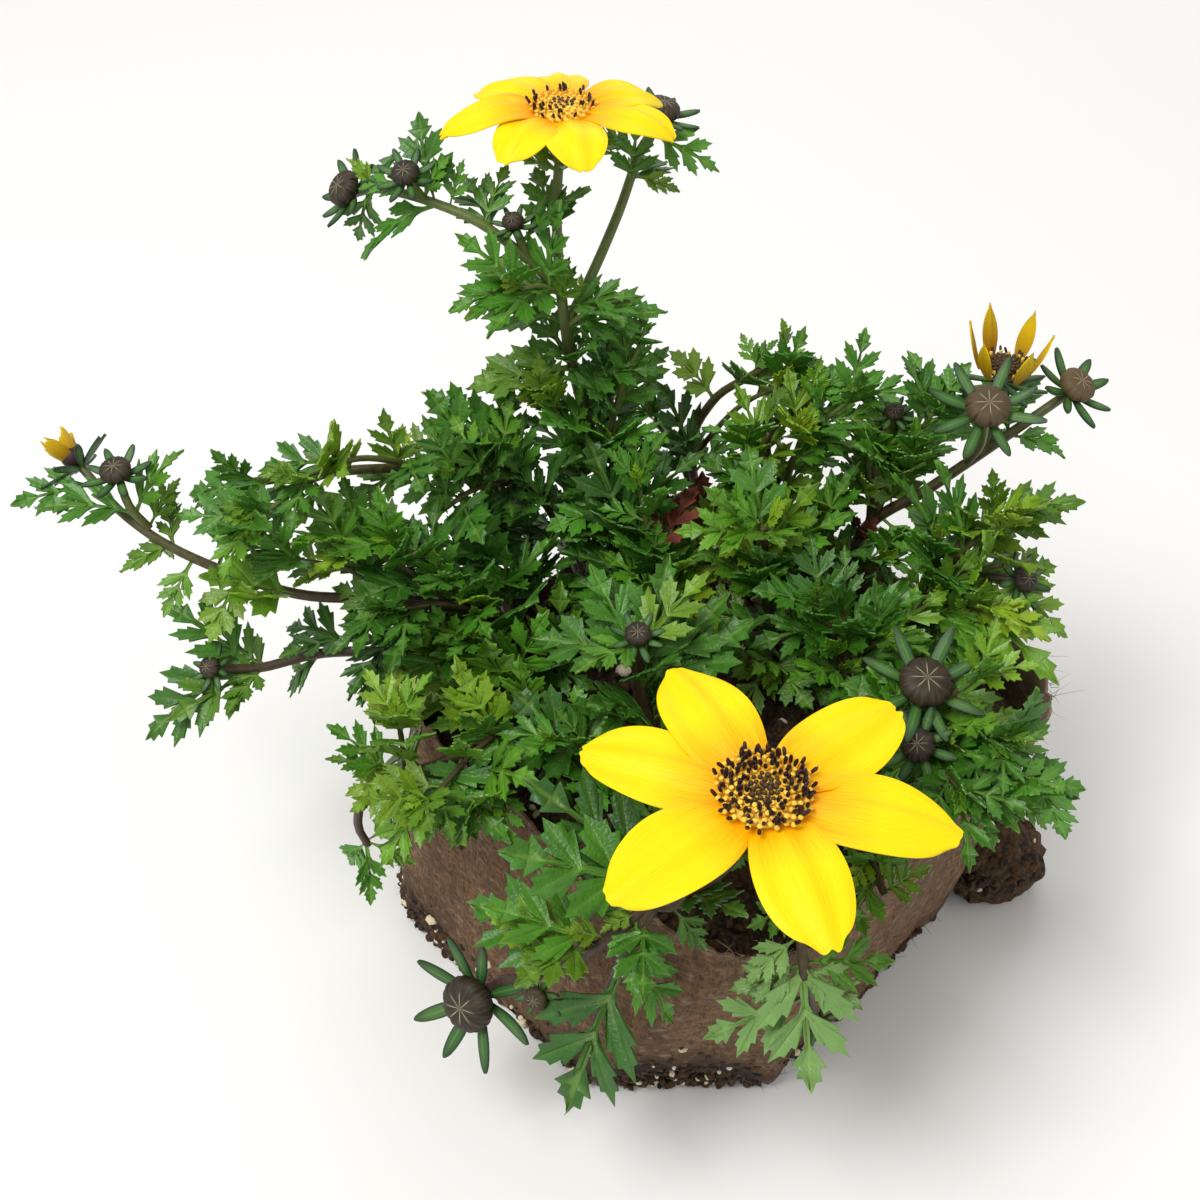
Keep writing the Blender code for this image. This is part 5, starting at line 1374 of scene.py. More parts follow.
def petal_shape(head, angle, length, draw):
    """A ray: as wide as a sine of the place along it, pleated by a cosine across, notched at its tip."""
    blade = ray_blade(head, angle, length)
    wide = BLOOMS[head.kind]["width"]
    s, t = grid(30, 17)
    upright = head.kind == "half_open"
    width = np.sin(math.pi * (0.13 + (0.78 + 0.07 * upright) * s)) ** (0.72 + 0.3 * upright)
    width *= wide / 2 / blade.length
    phase = draw.uniform(0, 6.28)
    notch = (0.035 + 0.02 * math.sin(phase)) * bell(t - 0.12 * math.sin(phase), 0.16)
    along = s - s**7 * (0.085 * t * t + notch + 0.012 * np.cos(7 * t + phase))
    pleat = 0.02 * np.cos(2.2 * math.pi * t) * np.sin(math.pi * s) ** 0.6
    wave = 0.022 * np.sin(7.0 * s + phase) * t**2
    lift = blade.length * (pleat + wave) * min(1.0, wide / 8)
    reach = 1.3 if upright else 2.1
    warm = held(0.95 - reach * s + draw.uniform(-0.1, 0.35))
    growth = flat_growth(s.shape, warm, draw.random(), np.abs(t))
    uv = np.stack([s, t + 3.0 * draw.randint(0, 9)], -1)
    return slab(blade, along, t * width, lift, 0.16 * (1.0 - 0.4 * np.abs(t)), growth, uv, 0)


def cone_of(rows, count, look):
    """A small upright body from rows of (height, radius), its growth 0 at the foot and 1 at the tip."""
    heights, radii = np.array(rows, float).T
    reach = np.repeat(radii[:, None], count, axis=1)
    rise = (heights - heights[0]) / (heights[-1] - heights[0])
    growth = flat_growth(reach.shape, rise[:, None])
    return turned_body(np.zeros(3), np.array((0.0, 0.0, 1.0)), heights, reach, look, growth)


KNOB = ((0.0, 0.26), (0.35, 0.36), (0.7, 0.3), (0.9, 0.08))
FLORET_TUBE = ((0.0, 0.22), (0.5, 0.3), (0.95, 0.5), (1.2, 0.46), (1.3, 0.16))
ANTHERS = ((0.8, 0.16), (1.3, 0.25), (1.95, 0.27), (2.3, 0.12))
GOLDEN_ANGLE = math.radians(137.508)  # from each floret to the next


def disc_shapes(head, draw):
    """A disc: florets at the golden angle on a dome, closed knobs inside and open ones with anthers outside.

    Nearly all of the half-open flower's are closed, on a taller dome.
    """
    _, kind, centre, axis, _ = head
    disc = BLOOMS[kind]["disc"]
    seat = RAY_HEIGHT + BLADE * 0.5
    closed = kind == "half_open"
    tall = (0.55 if closed else 0.2) * disc
    a = shares(12)[:, None] * 1.45
    reach = disc * 0.9 * np.cos(a) * np.ones((1, 40))
    growth = flat_growth(reach.shape, 1.0 - 0.6 * shares(12)[:, None])
    dome = turned_body(centre, axis, seat + tall * np.sin(a.ravel()), reach, 0 if closed else 1, growth)
    count = round((7.5 if closed else 4.8) * disc**2)
    number = np.arange(count) + 0.5
    out = (number / count) ** 0.54
    angle = number * GOLDEN_ANGLE
    across, back = around(axis)
    lean = across * np.cos(angle)[:, None] + back * np.sin(angle)[:, None]
    rise = seat + tall * np.sqrt(1.0 - 0.85 * out**2)
    feet = centre + axis * rise[:, None] - axis * 0.35 + lean * (out * disc * 0.98)[:, None]
    ways = units(axis + lean * (0.6 * out**2)[:, None])
    draws = np.array([[draw.random() for _ in range(3)] for _ in range(count)])
    size = (1.5 if closed else 1.0) * disc / 6.6
    inner = out < (0.86 if closed else 0.4)
    turns, tones = draws[:, 1] * 6.0, draws[:, 2]

    def stood(small, chosen, ways, sizes):
        return planted(small, feet[chosen], ways[chosen], sizes[chosen], turns[chosen], tones[chosen])

    sizes = (0.85 + 0.3 * draws[:, :1]) * np.array((1.15, 1.15, 1.0)) * size
    tilt = units(ways + 1.1 * (draws - 0.5) * (0.4 + 0.6 * out[:, None]))
    tall = 0.6 + 0.35 * held((out - 0.4) * 3) + 0.2 * draws[:, 0]
    tubes, anthers = [
        np.stack([np.full(count, wide), np.full(count, wide), tall], 1) * size for wide in (0.8, 1.15)
    ]
    shed = ~inner & (draws[:, 2] > (0.7 if kind == "top_flower" else 0.0))
    return [
        dome,
        stood(cone_of(KNOB, 8, 0), inner, ways, sizes),
        stood(cone_of(FLORET_TUBE, 9, 1), ~inner, ways, tubes),
        stood(cone_of(ANTHERS, 7, 2), shed, tilt, anthers),
    ]


def opening_shapes(head, draw):
    """A bud's first petals: short strips that lean out from its core and curl in along their edges."""
    _, _, centre, axis, radius = head
    seat = BLADE / 2
    a = np.linspace(0.06, math.pi - 0.3, 10)[:, None]
    reach = 0.62 * radius * np.sin(a) ** 0.7 * np.ones((1, 24))
    heights = seat + radius * (0.6 - 0.62 * np.cos(a.ravel()))
    found = [turned_body(centre, axis, heights, reach, 1, flat_growth(reach.shape, 0.2))]
    s, t = grid(10, 7)
    side = t * 0.2 * np.sin(math.pi * (0.2 + 0.72 * s)) ** 0.6
    petals = 8
    for i in range(petals):
        out = outward(axis, TURN * (i + draw.uniform(-0.35, 0.35)) / petals)
        foot = centre + axis * (seat + 0.5 * radius) + out * 0.42 * radius
        length = draw.uniform(1.2, 2.1) * radius
        aim = unit(out * draw.uniform(0.15, 0.75) + axis)
        blade = Blade(foot, aim, -out, length, draw.uniform(-30, 45), curl=-1.6)
        ragged = s - 0.3 * s**6 * np.abs(np.sin(4.0 * t + 6.0 * length))
        growth = flat_growth(s.shape, held(1.0 - 1.1 * s), draw.random(), np.abs(t))
        found.append(slab(blade, ragged, side, 0.0, 0.12, growth, np.stack([s, t + i], -1), 0))
    return found


# Pot pieces


def outline(share, half, corner):
    """Points and outward normals at shares of the way round a rounded square whose corners lie on X and Y."""
    straight = 2 * (half - corner)
    arc = math.pi / 2 * corner
    quarter, rest = np.divmod(share * 4 * (straight + arc) + arc / 2, straight + arc)
    angle = np.radians(90 * quarter - 45)
    turn = np.where(rest < arc, angle + rest / corner, angle + math.pi / 2)
    normal = np.stack([np.cos(turn), np.sin(turn)], -1)
    hub = math.sqrt(2.0) * (half - corner)
    centre = hub[..., None] * np.stack([np.cos(angle + math.pi / 4), np.sin(angle + math.pi / 4)], -1)
    side = np.stack([-normal[..., 1], normal[..., 0]], -1)
    flat = normal * half[..., None] + side * (rest - arc - straight / 2)[..., None]
    return np.where((rest < arc)[..., None], centre + normal * corner[..., None], flat), normal


def sleeve_places(share, z, inset):
    """Points on the sleeve at shares of the way round and heights, drawn in by the inset, and normals."""
    share, z, inset = np.broadcast_arrays(np.asarray(share, float), z, inset)
    rise = held(z / SLEEVE_HEIGHT)
    half, corner, middle, front = sleeve_section(rise)
    points, normals = outline(share % 1.0, half, corner)
    u = TURN * share
    wrinkle = 0.35 * np.sin(5 * u) + 0.25 * np.sin(9 * u + 1.0)
    place = points + normals * (wrinkle - inset)[..., None]
    x = place[..., 0] + middle
    y = np.maximum(place[..., 1], front + inset)
    pushed = place[..., 1] < front + inset
    normals = np.where(pushed[..., None], (0.0, -1.0), normals)
    return np.stack([x, y, z], -1), np.concatenate([normals, np.zeros(normals.shape[:-1] + (1,))], -1)


FRONT_TEAR, LEFT_TEAR = 4.62, 3.3  # where the sleeve's foot is torn away, in radians round from +X
STRAND_RINGS, STRAND_SIDES = 5, 3
STRAND_POINTS = STRAND_RINGS * STRAND_SIDES


def rim_heights(u):
    ragged = 0.7 * np.sin(3 * u + 0.5) + 0.5 * np.sin(8 * u) + 0.4 * np.sin(17 * u + 2.0)
    return SLEEVE_HEIGHT - 0.4 + ragged


def foot_heights(u):
    return 1.8 + 0.4 * np.sin(11 * u) + 6.0 * bell(u - FRONT_TEAR, 0.34) + 3.0 * bell(u - LEFT_TEAR, 0.3)


def crumple(points):
    """How far the felt stands out from its smooth form, from noise of four sizes."""
    soft = 0.55 * rough(points, 11.0, 1) + 0.3 * rough(points, 4.0, 2) + 0.16 * rough(points, 1.3, 3)
    return soft + 0.5 * rough(points * (1, 1, 0.12), 6.0, 9)


def stain(u, z):
    """How much medium is smeared on the felt, most at the foot of its front corner and at its left."""
    front = 1.1 * bell(u - FRONT_TEAR, 0.4) * held(1.25 - z / 15.0)
    left = 0.9 * bell(u - LEFT_TEAR, 0.35) * held(1.2 - z / 11.0)
    return front + left


def sleeve_shape():
    """The sleeve: up its outer face, over the torn rim and down its inner face."""
    count, outer_rows, inner_rows = 420, 50, 18
    share = np.arange(count) / count
    u = TURN * share
    torn = 0.9 * rough_along(share * 90, 3) + 0.5 * rough_along(share * 230, 4)
    torn -= 2.2 * held(rough_along(share * 40, 6) - 0.35)
    rim = rim_heights(u) + torn
    foot = foot_heights(u) + 0.7 * rough_along(share * 110, 5) + 0.4 * rough_along(share * 260, 7)
    rise = np.concatenate([shares(outer_rows), shares(inner_rows)[::-1]])[:, None]
    inside = (np.arange(outer_rows + inner_rows) >= outer_rows)[:, None]
    z = foot + (rim - foot) * rise
    near_edge = np.minimum(rise * 50, (1 - rise) * 50)
    wall = held(0.35 + 0.25 * near_edge) * SLEEVE_WALL
    points, normals = sleeve_places(np.broadcast_to(share, z.shape), z, np.where(inside, wall, 0.0))
    flutter = 0.7 * held(1.0 - (1 - rise) * 14) * rough_along(share * 34, 8)[None]
    points = points + normals * (crumple(points) + flutter)[..., None] * np.array((1.0, 1.0, 0.0))
    right = bell((u - 0.35 + math.pi) % TURN - math.pi, 0.75)
    torn_edge = held(1.0 - (rim - z) / (1.2 + 4.5 * right)) * (0.35 + 0.65 * right)
    damp = 0.25 * bell(z, 14.0) + 0.35 * inside + stain(u, z)
    growth = flat_growth(z.shape, torn_edge * (0.6 + 0.4 * rough(points, 1.6, 12)), damp, 0.5)
    faces = ring_faces(len(rise), count, closed=True)
    uv = np.stack(np.broadcast_arrays(share[None], rise), -1)
    return Shape(points.reshape(-1, 3), [faces], 0, growth.reshape(-1, 3), uv.reshape(-1, 2))


def strands(starts, ways, bends, lengths, thick, look, tone):
    """Loose threads: three-sided tubes along arcs that start at a point, run along a way and bend."""
    step = shares(STRAND_RINGS)[None, :, None]
    lengths = lengths[:, None, None]
    paths = starts[:, None] + lengths * (ways[:, None] * step + bends[:, None] * step**2)
    paths[..., 2] = np.maximum(paths[..., 2], thick)
    first, second = [side[:, None, None] for side in frames(ways)]
    angle = angles(STRAND_SIDES)[:, None]
    ring = first * np.cos(angle) + second * np.sin(angle)
    rings = paths[:, :, None] + ring * thick * (1.0 - 0.75 * step[..., None])
    count = len(starts)
    last = STRAND_POINTS - STRAND_SIDES
    ends = np.array([[2, 1, 0], [last, last + 1, last + 2]])
    faces = copied((ring_faces(STRAND_RINGS, STRAND_SIDES), ends), count, STRAND_POINTS)
    growth = flat_growth((count * STRAND_POINTS,), tone, 0.3, 0.5)
    return Shape(rings.reshape(-1, 3), faces, look, growth, np.zeros((count * STRAND_POINTS, 2)))


def sleeve_threads(rng, count):
    """Threads that stand off the felt, most of them along the torn rim and foot."""
    share = rng.random(count)
    u = TURN * share
    pick = rng.random(count)
    at_rim = pick < 0.45
    rim, foot = rim_heights(u), foot_heights(u)
    anywhere = foot + (rim - foot) * rng.random(count)
    z = np.where(at_rim, rim - 0.5, np.where(pick < 0.65, foot + 0.5, anywhere))
    points, normals = sleeve_places(share, z, 0.2)
    points += normals * crumple(points)[:, None]
    ways = normals * 0.35 + rng.normal(0, 1, (count, 3)) * np.array((1, 1, 0.8))
    ways = units(ways + normals * np.clip(-(ways * normals).sum(1), 0, None)[:, None] * 1.5)
    bends = rng.normal(0, 0.45, (count, 3)) + normals * 0.1
    tone = np.repeat(held(rng.normal(0.25, 0.3, count)), STRAND_POINTS)
    lengths = np.where(at_rim, rng.uniform(1.2, 4.0, count), rng.uniform(0.8, 2.2, count))
    return strands(points, ways, bends, lengths, 0.06, 0, tone)


def medium_shape():
    """The block of medium: rings from its underside up, over its edge and in to the middle of its top."""
    count = 380
    share = np.arange(count) / count
    u = TURN * share
    inset = SLEEVE_WALL + GAP + 0.5
    ledge = foot_heights(u) - GAP - 0.1
    top = MEDIUM_TOP + 0.7 * np.sin(4 * u + 1.0) + 0.4 * np.sin(9 * u)
    rows = [(0.0 * u, 1.0), (ledge * 0.33, 0.6), (ledge * 0.66, 0.4), (ledge, 0.3), (ledge, inset + 0.1)]
    rows += [(top - 2.0, inset), (top, inset + 2.5)]
    rings = np.array([sleeve_places(share, z, drawn_in)[0] for z, drawn_in in rows])
    edge = rings[-1]
    inward = 1.0 - shares(42)[1:-1, None]
    flat = edge[None, :, :2] * inward[..., None]
    heights = top[None] * inward + (MEDIUM_TOP + 0.8) * (1 - inward)
    rings = np.concatenate([rings, np.concatenate([flat, heights[..., None]], -1)])
    bump = 1.0 * rough(rings, 5.5, 21) + 0.6 * rough(rings, 2.2, 22) + 0.35 * rough(rings, 0.9, 23)
    rings[7:, :, 2] += bump[7:]
    side = units(rings[:4] - rings[:4].mean(axis=1, keepdims=True))
    rings[1:4, :, :2] += (side[1:4] * (0.5 * bump[1:4])[..., None])[..., :2]
    growth = flat_growth(bump.shape, 0.0, 0.0, held(0.3 + 0.4 * bump))
    uv = np.stack(np.broadcast_arrays(share[None], shares(len(rings))[:, None]), -1)
    low = np.array((FOOT_SHIFT, 0.0, 0.0))
    return rounded(rings, low, rings[-1].mean(axis=0), growth, uv, 0)


def pebble(subdivisions, look):
    """A ball of triangles."""
    made = bmesh.new()
    bmesh.ops.create_icosphere(made, subdivisions=subdivisions, radius=1.0)
    points = np.array([vertex.co[:] for vertex in made.verts])
    faces = np.array([[vertex.index for vertex in face.verts] for face in made.faces])
    made.free()
    return Shape(points, [faces], look, np.zeros((len(points), 3)), points[:, :2].copy())


def crumbs(rng, feet, sizes, subdivisions, look):
    """Crumbs: balls stretched by chance, their points pushed in and out by noise of each crumb's own."""
    count = len(feet)
    ways = units(rng.normal(0, 1, (count, 3)))
    stretch = sizes[:, None] * rng.uniform(0.55, 1.25, (count, 3))
    made = planted(pebble(subdivisions, look), feet, ways, stretch, rng.random(count) * 6, rng.random(count))
    each = made.points.reshape(count, -1, 3)
    middle = each.mean(axis=1, keepdims=True)
    swell = 1.0 + 0.28 * rough(each + np.arange(count)[:, None, None] * 3.1, 0.55, 31)[..., None]
    made.points = (middle + (each - middle) * swell).reshape(-1, 3)
    made.points[:, 2] = np.maximum(made.points[:, 2], 0.0)
    return made


def on_top(rng, count, depth):
    """Places spread over the top of the medium."""
    share, inward = rng.random(count), np.sqrt(rng.random(count)) * 0.97
    edge, _ = sleeve_places(share, MEDIUM_TOP, SLEEVE_WALL + 2.2)
    edge[:, :2] *= inward[:, None]
    edge[:, 2] = MEDIUM_TOP + 0.6 + 1.0 * rough(edge, 5.5, 21) + rng.uniform(-depth, depth, count)
    return edge


def at_foot(rng, count, low):
    """Places on the band of medium below the sleeve's torn foot, most where the foot is torn highest."""
    share = rng.random(count * 6)
    foot = foot_heights(TURN * share)
    share, foot = [part[rng.random(count * 6) * 8.0 < foot][:count] for part in (share, foot)]
    z = low + (foot - low) * rng.random(len(share)) * 1.1
    points, _ = sleeve_places(share, z, 0.3 + 0.4 * rng.random(len(share)))
    return points


def on_stain(rng, count):
    """Places on the felt where medium is smeared on it, the most where it is thickest."""
    share, z = rng.random(count * 12), 1.0 + 20.0 * rng.random(count * 12)
    thickest = rng.random(count * 12) < stain(TURN * share, z)
    share, z = share[thickest][:count], z[thickest][:count]
    points, normals = sleeve_places(share, z, 0.1)
    return points + normals * crumple(points)[:, None]


LUMP_MIDDLE = np.array((45.0, 4.0, 4.5))
LUMP_REACH = np.array((9.5, 8.0, 9.0))


def on_lump(rng, count):
    """Places all over the loose lump but for its underside."""
    ways = units(rng.normal(size=(count, 3)))
    ways[:, 2] = np.abs(ways[:, 2])
    return LUMP_MIDDLE + ways * LUMP_REACH * rng.uniform(0.94, 1.03, (count, 1))


def lump_shape():
    """The loose lump: a ball stretched to the solid's size, flat at the floor, with noise of three sizes."""
    made = pebble(6, 0)
    way = made.points
    swell = 1.0 + 0.1 * rough(way, 0.9, 41) + 0.09 * rough(way, 0.4, 42) + 0.05 * rough(way, 0.15, 43)
    points = LUMP_MIDDLE + way * LUMP_REACH * swell[:, None]
    points[:, 2] = np.maximum(points[:, 2], 0.0)
    lean = held((points[:, 2] - 2) / 12)
    points[:, 0] += 2.2 * (1 - lean) * (points[:, 0] < 42)
    made.points = points
    made.growth = flat_growth((len(points),), 0.0, 0.0, held(0.55 + 0.6 * rough(way, 0.25, 44)))
    return made


# Settings


def paint(name, description, code):
    """A colour that a user of the panel can set."""
    return bpy.props.FloatVectorProperty(
        name=name, description=description, default=linear(code), subtype="COLOR", size=3, min=0.0, max=1.0
    )


class FoliageSettings(bpy.types.PropertyGroup):
    """Leaves and stems."""

    thickness: bpy.props.FloatProperty(
        name="Leaf thickness", description="Thickness of a leaf at its rib", default=0.34 * MM, unit="LENGTH"
    )
    old_leaf: paint("Old leaf", "Dark green of a leaf low on its stem", "295B18")
    middle_leaf: paint("Grown leaf", "Clear green of a leaf half way up", "51941E")
    young_leaf: paint("Young leaf", "Yellow-green of a leaf near a tip", "A3C31E")
    hair: paint("Hairs", "White of the fine hairs on the palest leaves", "F2F4E8")
    downy: paint("Downy leaf", "Pale grey-green of a leaf under fine hairs", "7FAA5C")
    withered: paint("Withered leaf", "Red-brown of a dead leaf", "7A3A24")
    rib: paint("Leaf rib", "Paler green along a leaf's ribs", "9CBF5E")
    stem_low: paint("Stem, low", "Purple-brown at the foot of a stem", "38211B")
    stem_middle: paint("Stem, middle", "Brown half way up", "4B3E22")
    stem_top: paint("Stem, top", "Brown-green near a head", "5A6A2C")
    bract: paint("Bract", "Green of the outer bracts", "2F6025")
    bract_edge: paint("Bract edge", "Dark green of their edges and tips", "12270F")


class BloomSettings(bpy.types.PropertyGroup):
    """Flowers and buds."""

    petal: paint("Petal", "Yellow of a ray", "FFE000")
    petal_base: paint("Petal base", "Orange-yellow near the disc", "FAA200")
    petal_streak: paint("Petal lines", "Fine lines along a ray", "FFC800")
    opening: paint("Opening petal", "Golden yellow of petals that are still upright", "E8C60E")
    opening_base: paint("Opening petal base", "Brown-yellow at their feet", "A8700F")
    closed_floret: paint("Closed floret", "Olive brown in the middle of a disc", "5A451A")
    open_floret: paint("Open floret", "Yellow of an open floret's tube", "FAD94A")
    anther: paint("Anthers", "Dark purple-brown", "2A0812")
    bud: paint("Bud", "Dark brown of a bud's scales", "1F160A")
    bud_tan: paint("Bud streaks", "Tan of their streaks and low edges", "4E3D22")
    bud_seam: paint("Bud seams", "Cream of the seams on top", "EADFB4")


class PotSettings(bpy.types.PropertyGroup):
    """Sleeve and growing medium."""

    fibre: paint("Fibre", "Reddish brown of the felt", "846140")
    fibre_dark: paint("Damp fibre", "Darker blotches", "493521")
    fibre_pale: paint("Torn fibre", "Pinkish buff of the torn edge", "B79C8A")
    peat: paint("Peat", "Near black of the moist medium", "20150B")
    bark: paint("Bark", "Brown crumbs in the medium", "5E4224")
    grain: paint("Pale grains", "Cream of the mineral grains", "E6D9B8")
    crumb_count: bpy.props.IntProperty(name="Crumbs", description="Crumbs on the medium", default=600, min=0)
    thread_count: bpy.props.IntProperty(name="Threads", description="Loose threads", default=900, min=0)


class StageSettings(bpy.types.PropertyGroup):
    """Floor and light."""

    floor: paint("Floor", "Pale floor", "F4F3F0")
    light: bpy.props.FloatProperty(name="Light", description="Strength of the lamps", default=1.0, min=0.0)


def colours(settings, *names):
    """The colours of these names in a group of settings."""
    return [tuple(getattr(settings, name)) for name in names]


# Operators


class BIDENS_OT_stems(bpy.types.Operator):
    """Grows each stem with its leaves and its stars of bracts"""

    bl_idname = "bidens.stems"
    bl_label = "Leafy stems"

    def execute(self, context):
        chosen = context.scene.bidens_foliage
        greens = colours(chosen, "old_leaf", "middle_leaf", "young_leaf")
        rib, downy, withered, hair = colours(chosen, "rib", "downy", "withered", "hair")
        low, middle, top = colours(chosen, "stem_low", "stem_middle", "stem_top")
        looks = [
            leaf_look("leaf_blade", greens, rib, 0.42),
            stem_look(low, middle, top),
            bract_look(*colours(chosen, "bract", "bract_edge"), rib),
            leaf_look("withered_leaf", [withered] * 3, low, 0.8),
            leaf_look("downy_leaf", [downy] * 3, rib, 0.7),
            hair_look(hair),
        ]
        rng = np.random.default_rng(13)
        plant = foliage()
        shapes = {owner: [] for owner in STEMS}
        for owner, shoot, _ in plant.shoots:
            shapes[owner].append(stem_shape(shoot))
        draw = random.Random(11)
        for owner, blade, kind in plant.leaves:
            age = held(leaf_age(blade, kind) + draw.uniform(-0.12, 0.12))
            shapes[owner].append(leaf_shape(blade, kind, age, chosen.thickness / MM, draw))
            if seen_in(leaf_spot(blade, 0.7), HAIRY_SPOTS):
                shapes[owner].append(leaf_hairs(blade, rng, 22))
        for head in plant.heads:
            shapes[head.owner] += bract_shapes(head, draw)
        for owner, parts in shapes.items():
            put(owner.replace("stem_", "growth_"), parts, looks, "leaf_green", owner)
        return {"FINISHED"}


class BIDENS_OT_buds(bpy.types.Operator):
    """Sets a closed bud on each star of bracts that holds one"""

    bl_idname = "bidens.buds"
    bl_label = "Closed buds"

    def execute(self, context):
        chosen = context.scene.bidens_bloom
        look = bud_look(*colours(chosen, "bud", "bud_tan", "bud_seam"))
        draw = random.Random(12)
        heads = [head for head in foliage().heads if head.kind == "bud"]
        for i, head in enumerate(heads, 1):
            put(f"closed_bud_{i:02d}", [bud_shape(head, draw)], [look], "bud_brown", f"bud_{i:02d}")
        return {"FINISHED"}


class BIDENS_OT_blooms(bpy.types.Operator):
    """Opens the flowers, the half-open one and the bud whose first petals show"""

    bl_idname = "bidens.blooms"
    bl_label = "Flowers"

    def execute(self, context):
        chosen = context.scene.bidens_bloom
        yellow, base, streaks = colours(chosen, "petal", "petal_base", "petal_streak")
        golden, brown = colours(chosen, "opening", "opening_base")
        knob, tube_tip, anther = colours(chosen, "closed_floret", "open_floret", "anther")
        petals = petal_look("petal_yellow", yellow, base, streaks)
        opening = petal_look("opening_petal", golden, brown, base)
        discs = [
            floret_look("closed_florets", anther, knob),
            floret_look("open_florets", base, tube_tip),
            floret_look("anthers", anther, anther, 0.5),
        ]
        draw = random.Random(13)
        for head in foliage().heads:
            kind = head.kind
            if kind in BLOOMS:
                rays = [petal_shape(head, angle, length, draw) for angle, length in BLOOMS[kind]["rays"]]
                look = opening if kind == "half_open" else petals
                put(f"{kind}_petals", rays, [look], "petal_yellow", f"{kind}_rays")
                put(f"{kind}_florets", disc_shapes(head, draw), discs, "floret_brown", f"{kind}_disc")
            elif kind == "opening_bud":
                put("first_petals", opening_shapes(head, draw), [opening, discs[0]], "petal_yellow", kind)
        return {"FINISHED"}


class BIDENS_OT_sleeve(bpy.types.Operator):
    """Wraps the felted sleeve round the medium, with its loose threads"""

    bl_idname = "bidens.sleeve"
    bl_label = "Fibre sleeve"

    def execute(self, context):
        chosen = context.scene.bidens_pot
        look = fibre_look(*colours(chosen, "fibre", "fibre_dark", "fibre_pale", "peat"))
        rng = np.random.default_rng(14)
        put("felted_sleeve", [sleeve_shape()], [look], "fibre_brown", "fibre_sleeve")
        put("sleeve_threads", [sleeve_threads(rng, chosen.thread_count)], [look], "fibre_brown")
        return {"FINISHED"}


class BIDENS_OT_medium(bpy.types.Operator):
    """Fills in the growing medium with its crumbs and pale grains, and the loose lump"""

    bl_idname = "bidens.medium"
    bl_label = "Growing medium"

    def execute(self, context):
        chosen = context.scene.bidens_pot
        peat, bark, grain = colours(chosen, "peat", "bark", "grain")
        looks = [soil_look("moist_peat", peat, bark, 0.9), soil_look("pale_grains", grain, grain, 0.75)]
        rng = np.random.default_rng(15)
        put("peat_block", [medium_shape()], looks, "soil_dark", "growing_medium")
        # What spreads them, how many and how deep, least and greatest size, fineness, and 1 for pale grains
        heaps = (
            (on_top, (chosen.crumb_count, 0.5), (0.4, 1.3), 1, 0),
            (on_top, (70, 0.4), (0.5, 1.0), 2, 1),
            (at_foot, (420, 0.4), (0.3, 1.0), 2, 0),
            (at_foot, (60, 1.0), (0.4, 0.95), 2, 1),
            (on_stain, (320,), (0.2, 0.75), 1, 0),
            (on_stain, (26,), (0.35, 0.75), 2, 1),
            (on_lump, (340,), (0.4, 1.5), 1, 0),
            (on_lump, (44,), (0.3, 0.8), 2, 1),
        )
        loose = []
        for spread, amounts, sizes, fineness, look in heaps:
            feet = spread(rng, *amounts)
            loose.append(crumbs(rng, feet, rng.uniform(*sizes, len(feet)), fineness, look))
        put("loose_crumbs", loose, looks, "soil_dark")
        put("peat_lump", [lump_shape()], looks, "soil_dark", "soil_lump")
        return {"FINISHED"}


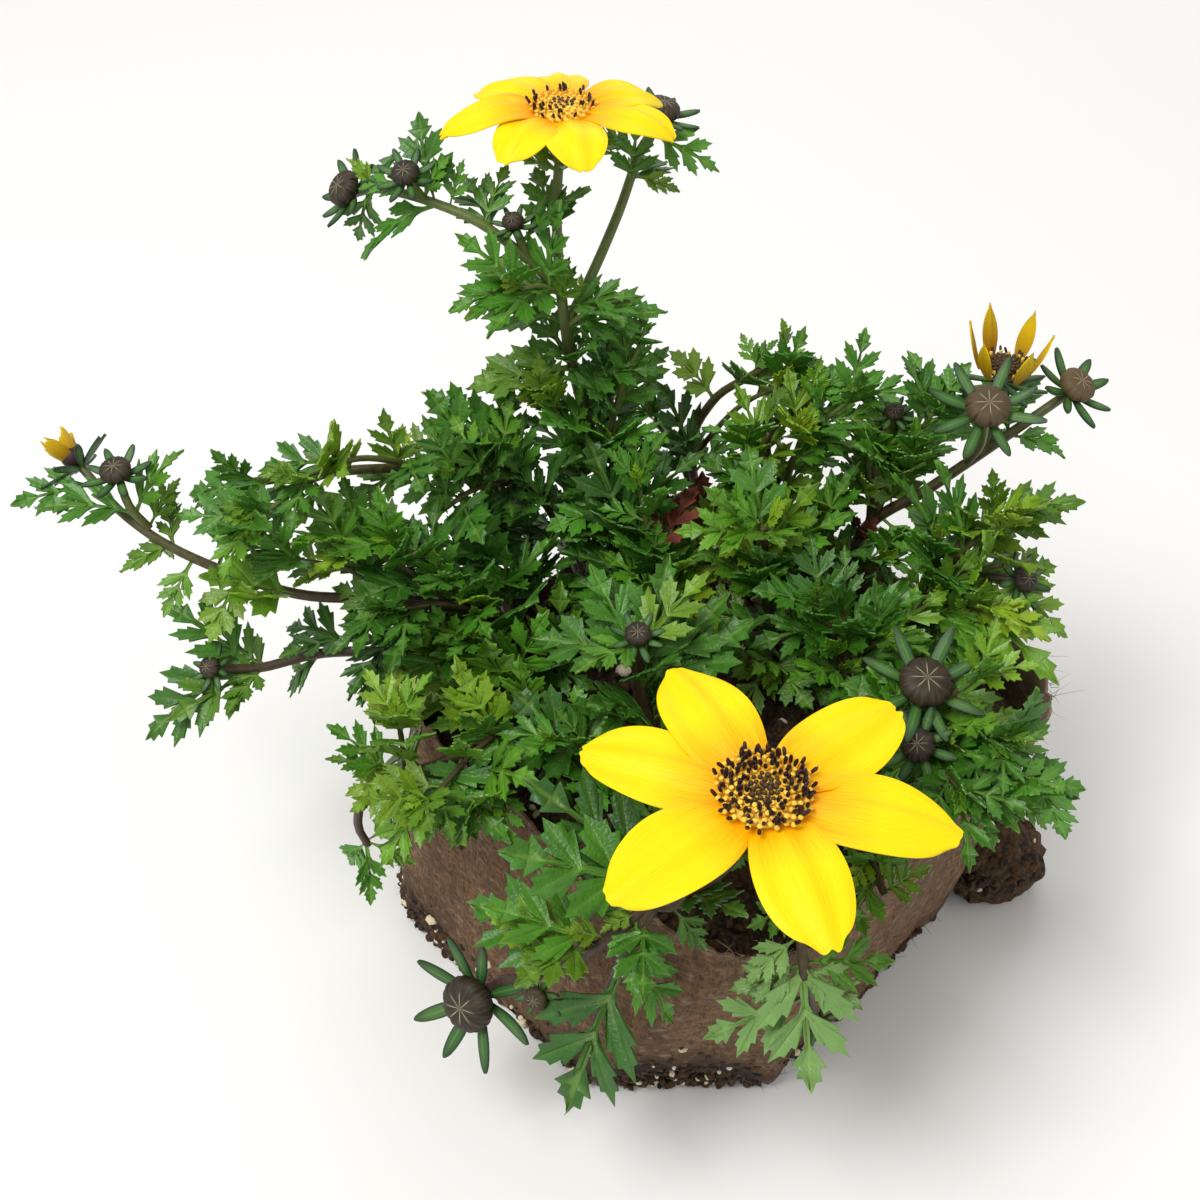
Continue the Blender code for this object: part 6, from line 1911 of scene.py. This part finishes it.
class BIDENS_OT_stage(bpy.types.Operator):
    """Lays the pale floor and sets the soft studio lights and the camera"""

    bl_idname = "bidens.stage"
    bl_label = "Floor, lights and camera"

    def execute(self, context):
        chosen = context.scene.bidens_stage
        scene = context.scene
        mesh = bpy.data.meshes.new("pale_floor")
        far = 3.0
        mesh.from_pydata([(-far, -far, 0), (far, -far, 0), (far, far, 0), (-far, far, 0)], [], [(0, 1, 2, 3)])
        mesh.materials.append(Look("floor_card", 0.9, tuple(chosen.floor)).finished())
        floor = stand("pale_floor", mesh)
        # Name, place in metres, side in metres and strength
        lamps = (
            ("key_softbox", (-0.35, -0.25, 0.8), 0.36, 5.4),
            ("fill_softbox", (0.6, -0.3, 0.5), 0.7, 0.8),
            ("back_softbox", (0.1, 0.7, 0.5), 0.6, 1.4),
        )
        for name, place, size, power in lamps:
            lamp = bpy.data.lights.new(name, "AREA")
            lamp.size, lamp.energy = size, power * chosen.light
            lit = stand(name, lamp)
            lit.location = place
            lit.rotation_euler = (Vector((0, 0, 0.05)) - Vector(place)).to_track_quat("-Z", "Y").to_euler()
        world = bpy.data.worlds.new("studio_white")
        world.use_nodes = True
        sky = world.node_tree.nodes["Background"].inputs
        sky["Color"].default_value = (1, 1, 1, 1)
        sky["Strength"].default_value = 0.5 * chosen.light
        scene.world = world
        # Petals are as strong a yellow as a screen shows, which the filmic transform would fade.
        scene.view_settings.view_transform = "Standard"
        view = bpy.data.cameras.new("photo_view")
        view.lens = view.sensor_width / 2 / math.tan(math.radians(CAMERA_VIEW / 2))
        view.clip_start = 0.01
        camera = stand("photo_view", view)
        camera.location = Vector(CAMERA_AT) * MM
        camera.rotation_euler = Euler((math.radians(90.0 - CAMERA_PITCH), 0.0, 0.0))
        scene.camera = camera
        return {"FINISHED"}


STEPS = (
    BIDENS_OT_stage, BIDENS_OT_stems, BIDENS_OT_buds, BIDENS_OT_blooms, BIDENS_OT_sleeve, BIDENS_OT_medium
)
SETTINGS = {
    "bidens_foliage": FoliageSettings,
    "bidens_bloom": BloomSettings,
    "bidens_pot": PotSettings,
    "bidens_stage": StageSettings,
}


class BIDENS_PT_panel(bpy.types.Panel):
    """Lists the pieces of the potted bidens"""

    bl_idname = "BIDENS_PT_panel"
    bl_label = "Potted bidens"
    bl_space_type = "VIEW_3D"
    bl_region_type = "UI"
    bl_category = "Bidens"

    def draw(self, context):
        for step in STEPS:
            self.layout.operator(step.bl_idname)
        for name, kind in SETTINGS.items():
            box = self.layout.box()
            box.label(text=kind.__doc__)
            for setting in kind.__annotations__:
                box.prop(getattr(context.scene, name), setting)


def register():
    for name, kind in SETTINGS.items():
        bpy.utils.register_class(kind)
        setattr(bpy.types.Scene, name, bpy.props.PointerProperty(type=kind))
    for kind in (*STEPS, BIDENS_PT_panel):
        bpy.utils.register_class(kind)


def unregister():
    for kind in (BIDENS_PT_panel, *reversed(STEPS)):
        bpy.utils.unregister_class(kind)
    for name, kind in SETTINGS.items():
        delattr(bpy.types.Scene, name)
        bpy.utils.unregister_class(kind)


def main():
    register()
    bpy.ops.bidens.stage()
    bpy.ops.bidens.stems()
    bpy.ops.bidens.buds()
    bpy.ops.bidens.blooms()
    bpy.ops.bidens.sleeve()
    bpy.ops.bidens.medium()


if __name__ == "__main__":
    main()
